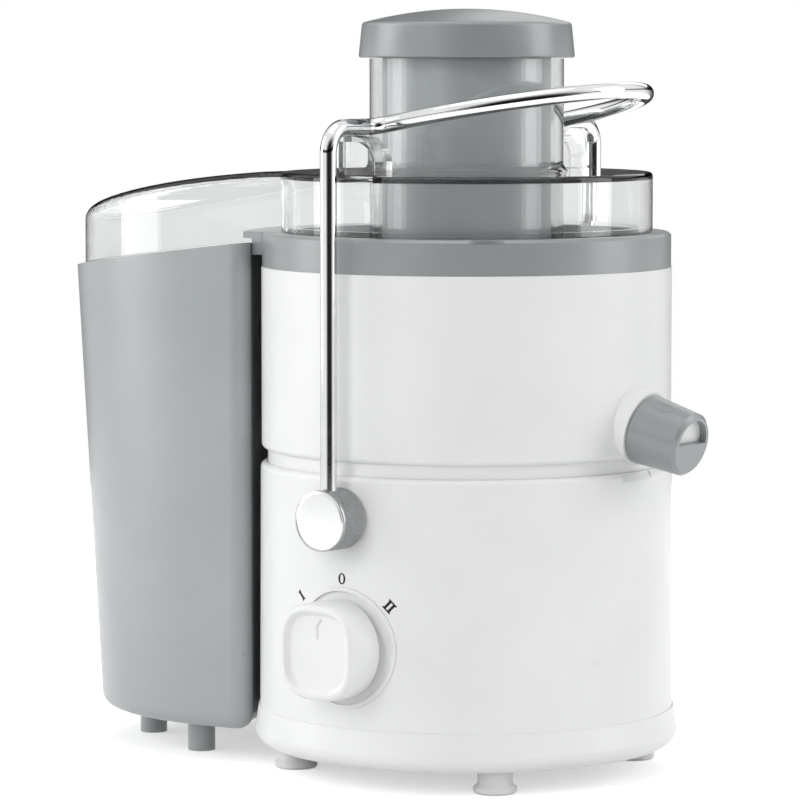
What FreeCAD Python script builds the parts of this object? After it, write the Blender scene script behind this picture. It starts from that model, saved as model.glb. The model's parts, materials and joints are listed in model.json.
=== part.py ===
"""Centrifugal juicer, as an assembly of separate pieces. Millimetres, +Z up.

The origin is on the spindle's axis at the level of the table. +X points along the juice spout,
-X towards the pulp container and -Y towards the speed knob, which is the front.
"""

import FreeCAD
import Part
import os
import re
import Sketcher
from FreeCAD import Placement, Rotation, Vector

X_AXIS = Vector(1, 0, 0)
Y_AXIS = Vector(0, 1, 0)
Z_AXIS = Vector(0, 0, 1)

# Driving dimensions: alias, value in millimetres (degrees where the note says so), note.
SIZES = [
    ("shell_wall", 2.5, "wall of every moulded shell"),
    ("fit_gap", 0.3, "clearance between pieces that are put together by hand"),
    ("run_gap", 0.05, "radial clearance of a shaft or pin that turns"),
    ("foot_height", 8.5, "rubber foot, from the table to the base"),
    ("foot_pad_r", 7.9, "rubber foot's pad"),
    ("foot_stem_r", 6.4, "rubber foot's stem"),
    ("foot_neck_r", 3.1, "rubber foot's neck, in its hole"),
    ("foot_place", 45.2, "rubber feet, along X and along Y from the spindle"),
    ("base_height", 14.5, "white base ring"),
    ("base_flare", 1.8, "how far the base ring at its widest stands outside the housing"),
    ("base_step", 0.6, "how far the base ring's upper edge stands proud of the housing"),
    ("base_round", 6, "rounding of the base ring's lower edge"),
    ("screw_r", 1.9, "screws' threads"),
    ("screw_head_r", 3.6, "screws' heads"),
    ("screw_inset", 5.2, "screws' bosses, from the inner face of the housing"),
    ("housing_r", 76.8, "motor housing's outer radius at its foot"),
    ("housing_draft", 0.4, "how much the housing narrows to its top"),
    ("housing_height", 90.7, "motor housing"),
    ("shell_edge", 2, "rounding of the housing's and the bowl's edges"),
    ("rim_depth", 3.2, "how far the deck lies below the housing's rim"),
    ("seam_height", 5, "recessed band between housing and bowl"),
    ("seam_depth", 2.3, "depth of that band"),
    ("thumb_drop", 4, "scallop in the housing's rim under the spout, its depth"),
    ("thumb_angle", 14, "that scallop's width, in degrees"),
    ("upper_inset", 0.8, "how far the juice bowl lies inside the housing's outer radius"),
    ("upper_height", 67.3, "juice bowl's outer wall"),
    ("floor_rise", 0.4, "underside of the bowl's floor above the seam band"),
    ("hub_tube_r", 15, "bore of the bowl's central tube"),
    ("hub_tube_rise", 13.8, "top of the bowl's central tube above the seam band"),
    ("collar_inset", 0.3, "how far the grey collar lies inside the bowl's outer radius"),
    ("collar_ledge", 8.7, "width of the grey collar's top"),
    ("collar_height", 12.7, "grey collar"),
    ("collar_spigot", 6, "collar's spigot inside the bowl"),
    ("notch_r", 12, "collar's finger notch"),
    ("notch_out", 9.4, "centre of that notch outside the collar"),
    ("notch_turn", 41, "notch's place round the collar, from the front towards the spout, in degrees"),
    ("notch_depth", 1.4, "depth of the notch"),
    ("tongue_lap", 2.8, "how far the collar's pulp tongue reaches over the container's near wall"),
    ("tongue_apron", 8.5, "depth of the tongue's apron between collar and container"),
    ("tongue_side", 14, "how much narrower the tongue's half is than the container's mouth"),
    ("lid_lap", 1.8, "how far the clear lid's round wall stands outside the collar's bore"),
    ("lid_height", 22.1, "clear lid above the collar"),
    ("lid_skirt", 3.7, "clear lid's skirt inside the collar"),
    ("chute_r", 35.9, "feed chute's outer radius"),
    ("chute_bore_r", 32.5, "feed chute's bore"),
    ("chute_rise", 41.7, "feed chute above the lid"),
    ("chute_flare", 4, "fillet between chute and lid"),
    ("ear_half", 8, "half width of the lid's two latching ears"),
    ("ear_inset", 11.8, "inner end of an ear, from the lid's outer radius"),
    ("ear_wall", 2, "wall of an ear, which is hollow from below"),
    ("ear_length", 10.6, "length of an ear"),
    ("ear_round", 10, "rounding of an ear on the side where the bail leaves"),
    ("pod_reach", 18.2, "centre of the pulp container's mouth, from the housing's outer radius"),
    ("pod_length_r", 80.5, "long half axis of the container's mouth"),
    ("pod_width_r", 62, "short half axis of the container's mouth"),
    ("pod_lean", 5, "how much nearer the centre of the container's foot lies"),
    ("pod_foot_length_r", 73, "long half axis of the container's foot"),
    ("pod_foot_width_r", 57, "short half axis of the container's foot"),
    ("pod_gap", 3, "gap between container and housing"),
    ("pod_floor", 12.5, "underside of the container"),
    ("pod_corner", 6, "rounding of the container's upright corners"),
    ("pod_edge", 5, "rounding of the container's bottom edge"),
    ("rim_drop", 3.4, "container's rim below the lid's seat, at the place given next"),
    ("rim_back", 37, "that place, from the mouth's centre towards the spindle"),
    ("rim_slope", 6.9, "fall of the rim outwards, in degrees"),
    ("catch_half", 12, "half width of the container's catch under the tongue"),
    ("peg_r", 5.2, "container's pegs"),
    ("peg_near", 3, "near pair of pegs, outwards from the mouth's centre"),
    ("peg_near_y", 36, "near pair of pegs, off the middle"),
    ("peg_far", 45, "far pair of pegs, outwards from the mouth's centre"),
    ("peg_far_y", 14, "far pair of pegs, off the middle"),
    ("hood_inset", 4.5, "lid's hood inside the container's outline"),
    ("hood_lift", 0.6, "gap between the hood's edge and the level of the container's rim"),
    ("hood_back", 35, "where the hood's top starts to fall, from the mouth's centre towards the spindle"),
    ("hood_out", 83, "where the hood's top curve ends, outwards from the mouth's centre"),
    ("hood_drop", 21.5, "fall of the hood's top over that length"),
    ("hood_curve_r", 600, "radius of the hood's top curve"),
    ("hood_edge", 5, "rounding of the hood's top edge"),
    ("pusher_r", 31.2, "pusher's outer radius"),
    ("pusher_wall", 2.2, "pusher's wall"),
    ("food_gap", 8.5, "gap between chute and grating disc"),
    ("cap_r", 39.9, "pusher cap's radius at its lower edge"),
    ("cap_top_r", 38.8, "pusher cap's radius at its upper edge"),
    ("cap_height", 13.2, "pusher cap's side"),
    ("cap_dome", 4.8, "rise of the pusher cap's dome"),
    ("pivot_drop", 14.8, "bail's pivots below the housing's top"),
    ("pivot_cap_r", 11, "round caps on the bail's pivots"),
    ("pivot_cap_depth", 13, "depth of those caps"),
    ("pin_r", 3, "pivot pins"),
    ("rod_r", 3, "bail's rod"),
    ("rod_gap", 7.4, "bail's upright legs, from the housing's outer radius"),
    ("rod_rise", 17.4, "bail's level where it crosses the ears, above the lid"),
    ("rod_bend", 9, "bend at the top of a leg"),
    ("loop_bend", 7, "bend where a leg joins the loop"),
    ("loop_half", 56, "half width of the loop"),
    ("loop_reach", 71, "length of the loop along its slope"),
    ("loop_nose_r", 46, "radius of the loop's nose"),
    ("loop_slope", 10.6, "slope of the loop, in degrees"),
    ("cam_r", 7, "interlock cam's round part"),
    ("cam_tip", 9, "interlock cam's tip, from the pivot"),
    ("plunger_r", 1.5, "interlock switch's plunger"),
    ("knob_height", 52, "speed knob's axis above the table"),
    ("knob_r", 18, "speed knob's round base"),
    ("knob_side", 15.8, "half side of the knob's face"),
    ("knob_corner", 9.5, "rounding of the knob's face"),
    ("knob_depth", 15, "speed knob, front to back"),
    ("knob_base", 4, "depth of the knob's round base"),
    ("knob_gap", 0.8, "gap between knob and housing's front"),
    ("bezel_r", 22, "ring round the speed knob"),
    ("bezel_rim", 1.4, "width of that ring's raised rim"),
    ("spout_out", 3, "spout: a point on its axis, outside the bowl"),
    ("spout_rise", 10.9, "spout: height of that point above the bowl's lower edge"),
    ("spout_tilt", 14, "spout's fall, in degrees"),
    ("stub_r", 10, "spout's tube"),
    ("stub_bore_r", 8, "spout's bore"),
    ("stub_length", 18, "spout's tube beyond its flange"),
    ("flange_r", 13.8, "spout's flange at the bowl"),
    ("flange_depth", 9, "depth of the spout's flange, into the bowl's wall"),
    ("drip_cap_r", 12.8, "drip stop's outer radius at its rear"),
    ("drip_cap_tip_r", 11.6, "drip stop's outer radius at its tip"),
    ("drip_plate", 2.5, "drip stop's end plate"),
    ("drip_edge", 1.3, "chamfer of the drip stop's tip"),
    ("shaft_r", 4, "motor shaft"),
    ("seal_r", 9.5, "shaft seal's outer radius"),
    ("coupling_r", 10, "drive coupling"),
    ("coupling_height", 14.5, "drive coupling"),
    ("hub_r", 13.5, "basket hub's outer radius"),
    ("basket_foot_r", 43, "filter basket at its foot"),
    ("basket_top_r", 62.5, "filter basket at its top"),
    ("basket_height", 56, "filter basket's cone"),
    ("basket_sheet", 0.8, "filter basket's sheet"),
    ("stator_half", 31, "half side of the stator's stack"),
    ("motor_room", 56.7, "how much higher the housing is than the stator's stack"),
    ("stator_base", 44, "stator's underside above the table"),
    ("rotor_r", 19, "armature"),
    ("air_gap", 0.6, "gap between armature and stator"),
    ("pole_half", 13, "half width of the winding windows"),
    ("coil_r", 26, "field coils' outer radius"),
    ("commutator_r", 11, "commutator"),
    ("bolt_place", 26, "motor's through bolts, along X and along Y"),
    ("bearing_r", 9.5, "ball bearings' outer radius"),
    ("bearing_height", 6, "ball bearings"),
    ("bracket_r", 40, "motor's end brackets"),
    ("bracket_wall", 3, "motor's end brackets, their thickness"),
    ("damper_r", 6, "motor's rubber dampers"),
    ("damper_height", 4, "motor's rubber dampers"),
    ("damper_place", 34, "motor's rubber dampers, from the spindle"),
    ("fan_r", 22, "cooling fan"),
    ("fan_height", 10, "cooling fan"),
    ("gland_height", 44, "mains lead's gland above the table"),
    ("gland_r", 5, "mains lead's gland, in its hole"),
    ("lead_r", 3.3, "hole for the mains lead"),
]
ALIASES = {alias for alias, value, note in SIZES}

# Sizes that go with the size of the piece beside them; a formula may use them like an alias.
LINKED = {
    "base_r": "housing_r + base_flare",
    "upper_r": "housing_r - upper_inset",
    "collar_r": "upper_r - collar_inset",
    "collar_bore_r": "collar_r - collar_ledge",
    "lid_r": "collar_bore_r + lid_lap",
    "ear_inner": "lid_r - ear_inset",
    "rod_place": "housing_r + rod_gap",
    "tongue_reach": "housing_r + pod_gap + tongue_lap",
    "tongue_half": "pod_width_r - tongue_side",
    "pod_centre": "housing_r + pod_reach",
    "pod_foot_centre": "pod_centre - pod_lean",
    "peg_near_x": "pod_centre + peg_near",
    "peg_far_x": "pod_centre + peg_far",
    "rim_near": "pod_centre - rim_back",
    "hood_start": "pod_centre - hood_back",
    "hood_end": "pod_centre + hood_out",
    "spout_x": "upper_r + spout_out",
    "seam_top": "foot_height + base_height + housing_height + seam_height",
    "spout_z": "seam_top + spout_rise",
    "pivot_height": "seam_top - seam_height - pivot_drop",
    "lid_seat": "seam_top + upper_height + collar_height",
    "rim_high": "lid_seat - rim_drop",
    "rod_top": "lid_seat + lid_height + rod_rise",
    "stator_height": "housing_height - motor_room",
}

# Levels and radii that follow from the driving dimensions, as formulas.
PAN_TOP = "(foot_height + shell_wall)"
SCREW_SEAT = f"({PAN_TOP} - 0.9)"
HOUSING_Z = "(foot_height + base_height)"
SEAM_Z = f"({HOUSING_Z} + housing_height)"
DECK_Z = f"({SEAM_Z} - rim_depth)"
DECK_BOTTOM = f"({DECK_Z} - shell_wall)"
UPPER_Z = f"({SEAM_Z} + seam_height)"
FLOOR_Z = f"({UPPER_Z} + floor_rise + shell_wall)"
COLLAR_Z = f"({UPPER_Z} + upper_height)"
LID_Z = f"({COLLAR_Z} + collar_height)"
LID_TOP_Z = f"({LID_Z} + lid_height)"
CHUTE_TOP_Z = f"({LID_TOP_Z} + chute_rise)"
CAP_Z = f"({CHUTE_TOP_Z} + fit_gap)"
EAR_TOP_Z = "(rod_top - rod_r - fit_gap)"
HOUSING_TOP_R = "(housing_r - housing_draft)"
HOUSING_BORE_R = "(housing_r - shell_wall)"
SPIGOT_R = "(upper_r - seam_depth)"
BOWL_BORE_R = "(upper_r - shell_wall)"
SKIRT_R = "(collar_bore_r - 0.5)"
NECK_R = "(seal_r + shell_wall)"
NECK_Z = f"({DECK_Z} + 4)"
COUPLING_Z = f"({NECK_Z} + 1)"
HUB_Z = f"({COUPLING_Z} + coupling_height)"
TUBE_TOP_Z = f"({UPPER_Z} + hub_tube_rise)"
GRATER_Z = f"({TUBE_TOP_Z} + 3.5)"
CHUTE_Z = f"({GRATER_Z} + food_gap)"
BASKET_TOP_Z = f"({GRATER_Z} + basket_height)"
STATOR_TOP = "(stator_base + stator_height)"
LOWER_BRACKET_Z = "(stator_base - 8)"
UPPER_BRACKET_Z = f"({DECK_BOTTOM} - 4 - damper_height - bracket_wall)"
FAN_Z = f"({LOWER_BRACKET_Z} - 4 - fan_height)"
PIVOT_IN = f"({HOUSING_TOP_R} - 10)"
PIVOT_OUT = "(housing_r + 0.3)"
GROOVE_R = "(stub_r - 1.1)"
CAM_NEAR = f"({PIVOT_IN} - 6.5)"
CAM_FAR = f"({PIVOT_IN} - 1.5)"
SCREW_PLACE = f"({HOUSING_BORE_R} - screw_inset)"
KNOB_BACK = "(housing_r + knob_gap)"

doc = FreeCAD.newDocument("CentrifugalJuicer")
sheet = doc.addObject("Spreadsheet::Sheet", "Dims")
pieces = []


def fill_sheet():
    """Writes each driving dimension as text, with its alias and its note."""
    for row, (alias, size, note) in enumerate(SIZES, start=1):
        sheet.set(f"A{row}", alias)
        sheet.set(f"B{row}", str(size))
        sheet.set(f"C{row}", note)
        sheet.setAlias(f"B{row}", alias)
    doc.recompute()


def bound(text):
    """The formula as FreeCAD reads it, with the sheet's name before each alias."""

    def read(word):
        if word[0] in LINKED:
            return f"({bound(LINKED[word[0]])})"
        return f"Dims.{word[0]}" if word[0] in ALIASES else word[0]

    return re.sub(r"[a-z_]+", read, text)


def number(text):
    """The formula's value with the sheet as it is."""
    return float(sheet.evalExpression(bound(text)))


def body(label):
    """A PartDesign body that is a piece of the juicer, named by its label."""
    made = helper(label)
    pieces.append(made)
    return made


def helper(label):
    """A PartDesign body that only serves to make another piece."""
    made = doc.addObject("PartDesign::Body", label)
    made.Label = label
    return made


def origin_feature(owner, role):
    """One of the body's own origin planes or axes."""
    return [part for part in owner.Origin.OriginFeatures if part.Role == role][0]


def sketch_on(owner, plane, offset="0"):
    """An empty sketch on one of the body's own origin planes, moved along its normal."""
    sketch = owner.newObject("Sketcher::SketchObject", f"{owner.Name}_sketch")
    sketch.AttachmentSupport = [(origin_feature(owner, f"{plane}_Plane"), "")]
    sketch.MapMode = "FlatFace"
    sketch.setExpression("AttachmentOffset.Base.z", bound(offset))
    return sketch


def pin_point(sketch, item, end, place):
    """Ties one point of the sketch to two formulas."""
    for kind, text in zip(("DistanceX", "DistanceY"), place):
        index = sketch.addConstraint(Sketcher.Constraint(kind, -1, 1, item, end, number(text)))
        sketch.setExpression(f"Constraints[{index}]", bound(text))


def arc_between(start, stop, radius):
    """The arc from start to stop; its centre is left of the way if the radius is positive."""
    chord = stop - start
    rise = max(radius**2 - chord.Length**2 / 4, 0) ** 0.5
    left = Vector(-chord.y, chord.x, 0).normalize() * (1 if radius > 0 else -1)
    centre = start + chord * 0.5 + left * rise
    return Part.Arc(start, centre - left * abs(radius), stop)


def path(sketch, points, closed=False):
    """Lines and arcs through the points. A point with a third value is reached by an arc."""
    spots = [Vector(number(point[0]), number(point[1]), 0) for point in points]
    ends = []
    for index, point in enumerate(points):
        if index == 0 and not closed:
            continue
        start, stop = spots[index - 1], spots[index]
        if len(point) == 2:
            item = sketch.addGeometry(Part.LineSegment(start, stop), False)
            ends.append((item, 1, 2, point))
        else:
            radius = number(point[2])
            item = sketch.addGeometry(arc_between(start, stop, radius), False)
            ends.append((item, 1, 2, point) if radius > 0 else (item, 2, 1, point))
    for index, (item, first, last, point) in enumerate(ends):
        if index + 1 < len(ends) or closed:
            following = ends[(index + 1) % len(ends)]
            sketch.addConstraint(Sketcher.Constraint("Coincident", item, last, following[0], following[1]))
        pin_point(sketch, item, last, point[:2])
        if len(point) == 3:
            at = sketch.addConstraint(Sketcher.Constraint("Radius", item, abs(number(point[2]))))
            sketch.setExpression(f"Constraints[{at}]", f"abs({bound(point[2])})")
    if not closed:
        pin_point(sketch, ends[0][0], ends[0][1], points[0][:2])


def circle(sketch, radius, place=("0", "0")):
    """A circle, tied to its centre and radius."""
    centre = Vector(number(place[0]), number(place[1]), 0)
    item = sketch.addGeometry(Part.Circle(centre, Z_AXIS, number(radius)), False)
    pin_point(sketch, item, 3, place)
    at = sketch.addConstraint(Sketcher.Constraint("Radius", item, number(radius)))
    sketch.setExpression(f"Constraints[{at}]", bound(radius))


def oval(sketch, centre_x, long_half, short_half):
    """An ellipse whose long axis lies along X."""
    middle = Vector(number(centre_x), 0, 0)
    item = sketch.addGeometry(Part.Ellipse(middle, number(long_half), number(short_half)), False)
    sketch.exposeInternalGeometry(item)
    pin_point(sketch, item, 3, (centre_x, "0"))
    for axis, half, direction in ((item + 1, long_half, "X"), (item + 2, short_half, "Y")):
        length = f"2 * ({half})"
        line = sketch.Geometry[axis]
        span = line.EndPoint - line.StartPoint
        first, last = (1, 2) if (span.x if direction == "X" else span.y) > 0 else (2, 1)
        wanted = Sketcher.Constraint(f"Distance{direction}", axis, first, axis, last, number(length))
        sketch.setExpression(f"Constraints[{sketch.addConstraint(wanted)}]", bound(length))


def rectangle(sketch, low, high):
    """A rectangle from its low corner to its high corner."""
    path(sketch, [low, (high[0], low[1]), high, (low[0], high[1])], closed=True)


def checked(owner, feature, before, cuts=None):
    """Recomputes, and stops if the feature failed or left the body's volume as it was."""
    doc.recompute()
    after = owner.Shape.Volume
    if "Invalid" in feature.State or "Error" in feature.State:
        raise RuntimeError(f"{owner.Label}: {feature.Name} failed")
    if cuts is not None and (before - after if cuts else after - before) < 1e-6:
        raise RuntimeError(f"{owner.Label}: {feature.Name} changed nothing ({before} to {after})")
    return feature


def volume(owner):
    """The body's volume, or nothing while it is empty."""
    return owner.Shape.Volume if owner.Tip and owner.Shape.Solids else 0


def turn(owner, points, cut=False, angle=None):
    """Revolves an outline on the XZ plane about the upright axis, or cuts with it."""
    before = volume(owner)
    sketch = sketch_on(owner, "XZ")
    path(sketch, points, closed=True)
    feature = owner.newObject(f"PartDesign::{'Groove' if cut else 'Revolution'}", f"{owner.Name}_turn")
    feature.Profile = sketch
    feature.ReferenceAxis = (sketch, ["V_Axis"])
    if angle:
        feature.Midplane = True
        feature.setExpression("Angle", bound(angle))
    return checked(owner, feature, before, cut)


def extrude(owner, sketch, length, cut=False):
    """Pads a sketch along its plane's normal, or pockets the same way."""
    before = volume(owner)
    feature = owner.newObject(f"PartDesign::{'Pocket' if cut else 'Pad'}", f"{owner.Name}_extrusion")
    feature.Profile = sketch
    feature.setExpression("Length", bound(length))
    feature.Reversed = cut
    return checked(owner, feature, before, cut)


def disc(owner, radius, low, high, places=(("0", "0"),), plane="XY", cut=False):
    """Adds or cuts round lengths between two levels of a plane."""
    sketch = sketch_on(owner, plane, low)
    for place in places:
        circle(sketch, radius, place)
    return extrude(owner, sketch, f"{high} - ({low})", cut)


def block(owner, low, high, plane="XY", cut=False):
    """Adds or cuts a rectangular block; the third value of a corner is its level on the plane."""
    sketch = sketch_on(owner, plane, low[2])
    rectangle(sketch, low[:2], high[:2])
    return extrude(owner, sketch, f"{high[2]} - ({low[2]})", cut)


def ring_of(owner, feature, count):
    """Repeats a feature all round the body's Z axis."""
    pattern = owner.newObject("PartDesign::PolarPattern", f"{owner.Name}_pattern")
    pattern.Originals = [feature]
    pattern.Axis = (origin_feature(owner, "Z_Axis"), [""])
    pattern.Angle = 360
    pattern.Occurrences = count
    owner.Tip = pattern
    return checked(owner, pattern, 0)


def rounded(owner, radius, chosen):
    """Fillets the edges of the body for which chosen(edge) is true."""
    names = [f"Edge{n}" for n, edge in enumerate(owner.Shape.Edges, start=1) if chosen(edge)]
    feature = owner.newObject("PartDesign::Fillet", f"{owner.Name}_fillet")
    feature.Base = (owner.Tip if owner.Tip != feature else feature.BaseFeature, names)
    feature.setExpression("Radius", bound(radius))
    return checked(owner, feature, 0)


def boolean(kind, label, base, tool, piece=False):
    """Part::Cut, Part::Fuse or Part::Common of two objects of the document."""
    made = doc.addObject(f"Part::{kind}", label)
    made.Base, made.Tool = base, tool
    made.Label = label
    doc.recompute()
    if piece:
        pieces.append(made)
    return made


def stand_at(owner, place):
    """Moves a body to the place, which is given as formulas."""
    for axis, text in zip("xyz", place):
        owner.setExpression(f"Placement.Base.{axis}", bound(text))


def face_front(owner, height, side=1):
    """Lays a body's Z axis along -Y (side 1) or +Y (side -1) at a height above the table."""
    owner.Placement = Placement(Vector(0, 0, 0), Rotation(X_AXIS, 90 * side))
    stand_at(owner, ("0", "0", height))


def lay_along_spout(owner):
    """Lays a body's Z axis along the juice spout."""
    owner.Placement = Placement(Vector(0, 0, 0), Rotation(Y_AXIS, 90))
    stand_at(owner, ("spout_x", "0", "spout_z"))
    owner.setExpression("Placement.Rotation.Angle", bound("90 + spout_tilt"))


# ---- base, feet and motor housing


def four_corners(distance):
    """Four places at the same distance along X and along Y."""
    return [(f"{x} * {distance}", f"{y} * {distance}") for x, y in ((1, -1), (1, 1), (-1, 1), (-1, -1))]


def four_sides(distance):
    """Four places on the X and Y axes."""
    return [(f"{x} * {distance}", f"{y} * {distance}") for x, y in ((1, 0), (0, 1), (-1, 0), (0, -1))]


def make_base():
    """Flared ring with a floor, vent slots, foot holes and screw holes."""
    pan = body("base_pan")
    outline = [
        ("0", "foot_height"),
        ("base_r - base_round", "foot_height"),
        ("base_r", "foot_height + base_round", "base_round"),
        ("housing_r + base_step", HOUSING_Z),
        ("housing_r + base_step - shell_wall", HOUSING_Z),
        ("base_r - shell_wall", "foot_height + base_round"),
        ("base_r - base_round", PAN_TOP, "shell_wall - base_round"),
        ("0", PAN_TOP),
    ]
    turn(pan, outline)
    slot = block(pan, ("20", "-1.5", "foot_height - 1"), ("38", "1.5", f"{PAN_TOP} + 1"), cut=True)
    ring_of(pan, slot, 20)
    disc(pan, "foot_neck_r + 0.1", "foot_height - 1", f"{PAN_TOP} + 1", four_corners("foot_place"), cut=True)
    disc(pan, "screw_r + 0.2", "foot_height - 1", f"{PAN_TOP} + 1", four_sides(SCREW_PLACE), cut=True)
    disc(pan, "screw_head_r + 0.2", "foot_height - 1", SCREW_SEAT, four_sides(SCREW_PLACE), cut=True)


def make_feet():
    """Four rubber feet, each with a barb that holds it in the base."""
    for count, place in enumerate(four_corners("foot_place"), start=1):
        foot = body(f"foot_{count}")
        outline = [
            ("0", "1"),
            ("foot_pad_r - 4.5", "1"),
            ("foot_pad_r - 3.5", "0"),
            ("foot_pad_r - 0.6", "0"),
            ("foot_pad_r", "0.6"),
            ("foot_pad_r", "2"),
            ("foot_stem_r", "3.4"),
            ("foot_stem_r", "foot_height"),
            ("foot_neck_r", "foot_height"),
            ("foot_neck_r", PAN_TOP),
            ("foot_neck_r + 1.2", PAN_TOP),
            ("foot_neck_r - 0.8", f"{PAN_TOP} + 3"),
            ("0", f"{PAN_TOP} + 3"),
        ]
        turn(foot, outline)
        stand_at(foot, place + ("0",))


def make_base_screws():
    """Four pan-head screws that hold the base to the housing."""
    screws = body("base_screws")
    disc(screws, "screw_head_r", "foot_height + 0.1", SCREW_SEAT, four_sides(SCREW_PLACE))
    disc(screws, "screw_r", SCREW_SEAT, f"{HOUSING_Z} + 3", four_sides(SCREW_PLACE))


def make_housing():
    """Round shell with a deck, the neck of the shaft seal, bosses and openings."""
    housing = body("motor_housing")
    rim_r = f"({SPIGOT_R} + fit_gap)"
    outline = [
        ("seal_r", DECK_BOTTOM),
        (f"{HOUSING_TOP_R} - shell_wall", DECK_BOTTOM),
        (HOUSING_BORE_R, HOUSING_Z),
        ("housing_r", HOUSING_Z),
        (HOUSING_TOP_R, f"{SEAM_Z} - shell_edge"),
        (f"{HOUSING_TOP_R} - shell_edge", SEAM_Z, "shell_edge"),
        (rim_r, SEAM_Z),
        (rim_r, DECK_Z),
        (NECK_R, DECK_Z),
        (NECK_R, NECK_Z),
        ("seal_r", NECK_Z),
    ]
    turn(housing, outline)
    screws = four_sides(SCREW_PLACE)
    disc(housing, "screw_inset + 0.6", HOUSING_Z, f"{HOUSING_Z} + 6", screws)
    disc(housing, "4", PAN_TOP, f"{HOUSING_Z} + 1", screws)
    disc(housing, "screw_r", f"{PAN_TOP} - 1", f"{HOUSING_Z} + 3", screws, cut=True)
    dampers = four_sides("damper_place")
    disc(housing, "damper_r", f"{DECK_BOTTOM} - 4", f"{DECK_BOTTOM} + 1", dampers)
    disc(housing, "screw_r", f"{DECK_BOTTOM} - 5", f"{DECK_Z} - 0.8", dampers, cut=True)
    # pivot bosses and bores, front and rear: the XZ plane's normal points to -Y
    pivot = [("0", "pivot_height")]
    disc(housing, "pin_r + 4", PIVOT_IN, f"{HOUSING_TOP_R} - 1", pivot, "XZ")
    disc(housing, "pin_r + 4", f"1 - {HOUSING_TOP_R}", f"-{PIVOT_IN}", pivot, "XZ")
    disc(housing, "pin_r + run_gap", f"{PIVOT_IN} - 1", "housing_r + 1", pivot, "XZ", cut=True)
    disc(housing, "pin_r + run_gap", "-housing_r - 1", f"1 - {PIVOT_IN}", pivot, "XZ", cut=True)
    # seat of the knob's ring, sunk into the front
    seat = [("0", "knob_height")]
    disc(housing, "bezel_r + 3", "housing_r - 7.5", "housing_r - 1.8", seat, "XZ")
    beyond = [
        ("housing_r", HOUSING_Z),
        ("housing_r + 9", HOUSING_Z),
        ("housing_r + 9", f"{SEAM_Z} - shell_edge"),
        (HOUSING_TOP_R, f"{SEAM_Z} - shell_edge"),
    ]
    turn(housing, beyond, cut=True)
    disc(housing, "bezel_r + run_gap", "housing_r - 5", "housing_r + 3", seat, "XZ", cut=True)
    disc(housing, "knob_r / 2", "housing_r - 9", "housing_r + 3", seat, "XZ", cut=True)
    # rib that carries the interlock switch, and the gland's flat seat and hole, at the rear
    rib_low = ("-6", "housing_r - 6", "pivot_height - 24")
    block(housing, rib_low, ("6", "housing_r - 1", "pivot_height - 13"))
    gland = [("0", "gland_height")]
    disc(housing, "gland_r + 3.3", "-housing_r - 1", "0.9 - housing_r", gland, "XZ", cut=True)
    disc(housing, "gland_r + run_gap", "-housing_r - 1", "6 - housing_r", gland, "XZ", cut=True)
    # slanting scallop in the rim, under the spout
    scallop = [
        ("housing_r + 0.1", f"{SEAM_Z} - thumb_drop"),
        ("housing_r + 3", f"{SEAM_Z} - thumb_drop"),
        ("housing_r + 3", f"{SEAM_Z} + 1"),
        (f"{rim_r} + 0.4", f"{SEAM_Z} + 1"),
    ]
    turn(housing, scallop, cut=True, angle="thumb_angle")


# ---- motor and drive


def make_motor_frame():
    """Stator with its coils, and the two end brackets with their through bolts."""
    stator = body("motor_stator")
    low, high = "stator_base", STATOR_TOP
    block(stator, ("-stator_half", "-stator_half", low), ("stator_half", "stator_half", high))
    disc(stator, "rotor_r + air_gap", f"{low} - 1", f"{high} + 1", cut=True)
    window = ("pole_half + fit_gap", "coil_r + fit_gap", f"{high} + 1")
    block(stator, ("-pole_half - fit_gap", "-coil_r - fit_gap", f"{low} - 1"), window, cut=True)
    disc(stator, "screw_r + 0.2", f"{low} - 1", f"{high} + 1", four_corners("bolt_place"), cut=True)

    coils = body("field_coils")
    inner = "(rotor_r + air_gap + 0.8)"
    for side in (1, -1):
        for bottom, top in ((f"{low} - 5", f"{low} - 0.3"), (f"{high} + 0.3", f"{high} + 5")):
            outline = [
                (f"{side} * {inner}", bottom),
                (f"{side} * coil_r", bottom),
                (f"{side} * coil_r", top),
                (f"{side} * {inner}", top),
            ]
            turn(coils, outline if side > 0 else outline[::-1], angle="150")
        for end in (1, -1):
            xs = ("5.5", "pole_half") if side > 0 else ("-pole_half", "-5.5")
            ys = (inner, "coil_r - 1") if end > 0 else ("1 - coil_r", f"-{inner}")
            block(coils, (xs[0], ys[0], f"{low} - 5"), (xs[1], ys[1], f"{high} + 5"))

    levels = (("motor_lower_bracket", LOWER_BRACKET_Z, low), ("motor_upper_bracket", UPPER_BRACKET_Z, high))
    for label, plate, stack in levels:
        bracket = body(label)
        disc(bracket, "bracket_r", plate, f"{plate} + bracket_wall")
        disc(bracket, "bearing_r + shell_wall", plate, f"{plate} + bearing_height")
        if label == "motor_lower_bracket":
            disc(bracket, "4", plate, stack, four_corners("bolt_place"))
        else:
            disc(bracket, "4", stack, f"{plate} + bracket_wall", four_corners("bolt_place"))
            damper_holes = four_sides("damper_place")
            disc(bracket, "screw_r + 0.2", f"{plate} - 1", f"{plate} + 9", damper_holes, cut=True)
        disc(bracket, "bearing_r", f"{plate} - 1", f"{plate} + bearing_height + 1", cut=True)
        bolt_holes = four_corners("bolt_place")
        disc(bracket, "screw_r + 0.2", "stator_base - 12", f"{high} + 40", bolt_holes, cut=True)

    bolts = body("motor_bolts")
    places = four_corners("bolt_place")
    head = f"{UPPER_BRACKET_Z} + bracket_wall"
    disc(bolts, "screw_r", f"{LOWER_BRACKET_Z} - 3", head, places)
    disc(bolts, "screw_head_r", head, f"{head} + 2", places)
    disc(bolts, "screw_head_r", f"{LOWER_BRACKET_Z} - 2.4", LOWER_BRACKET_Z, places)


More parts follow.
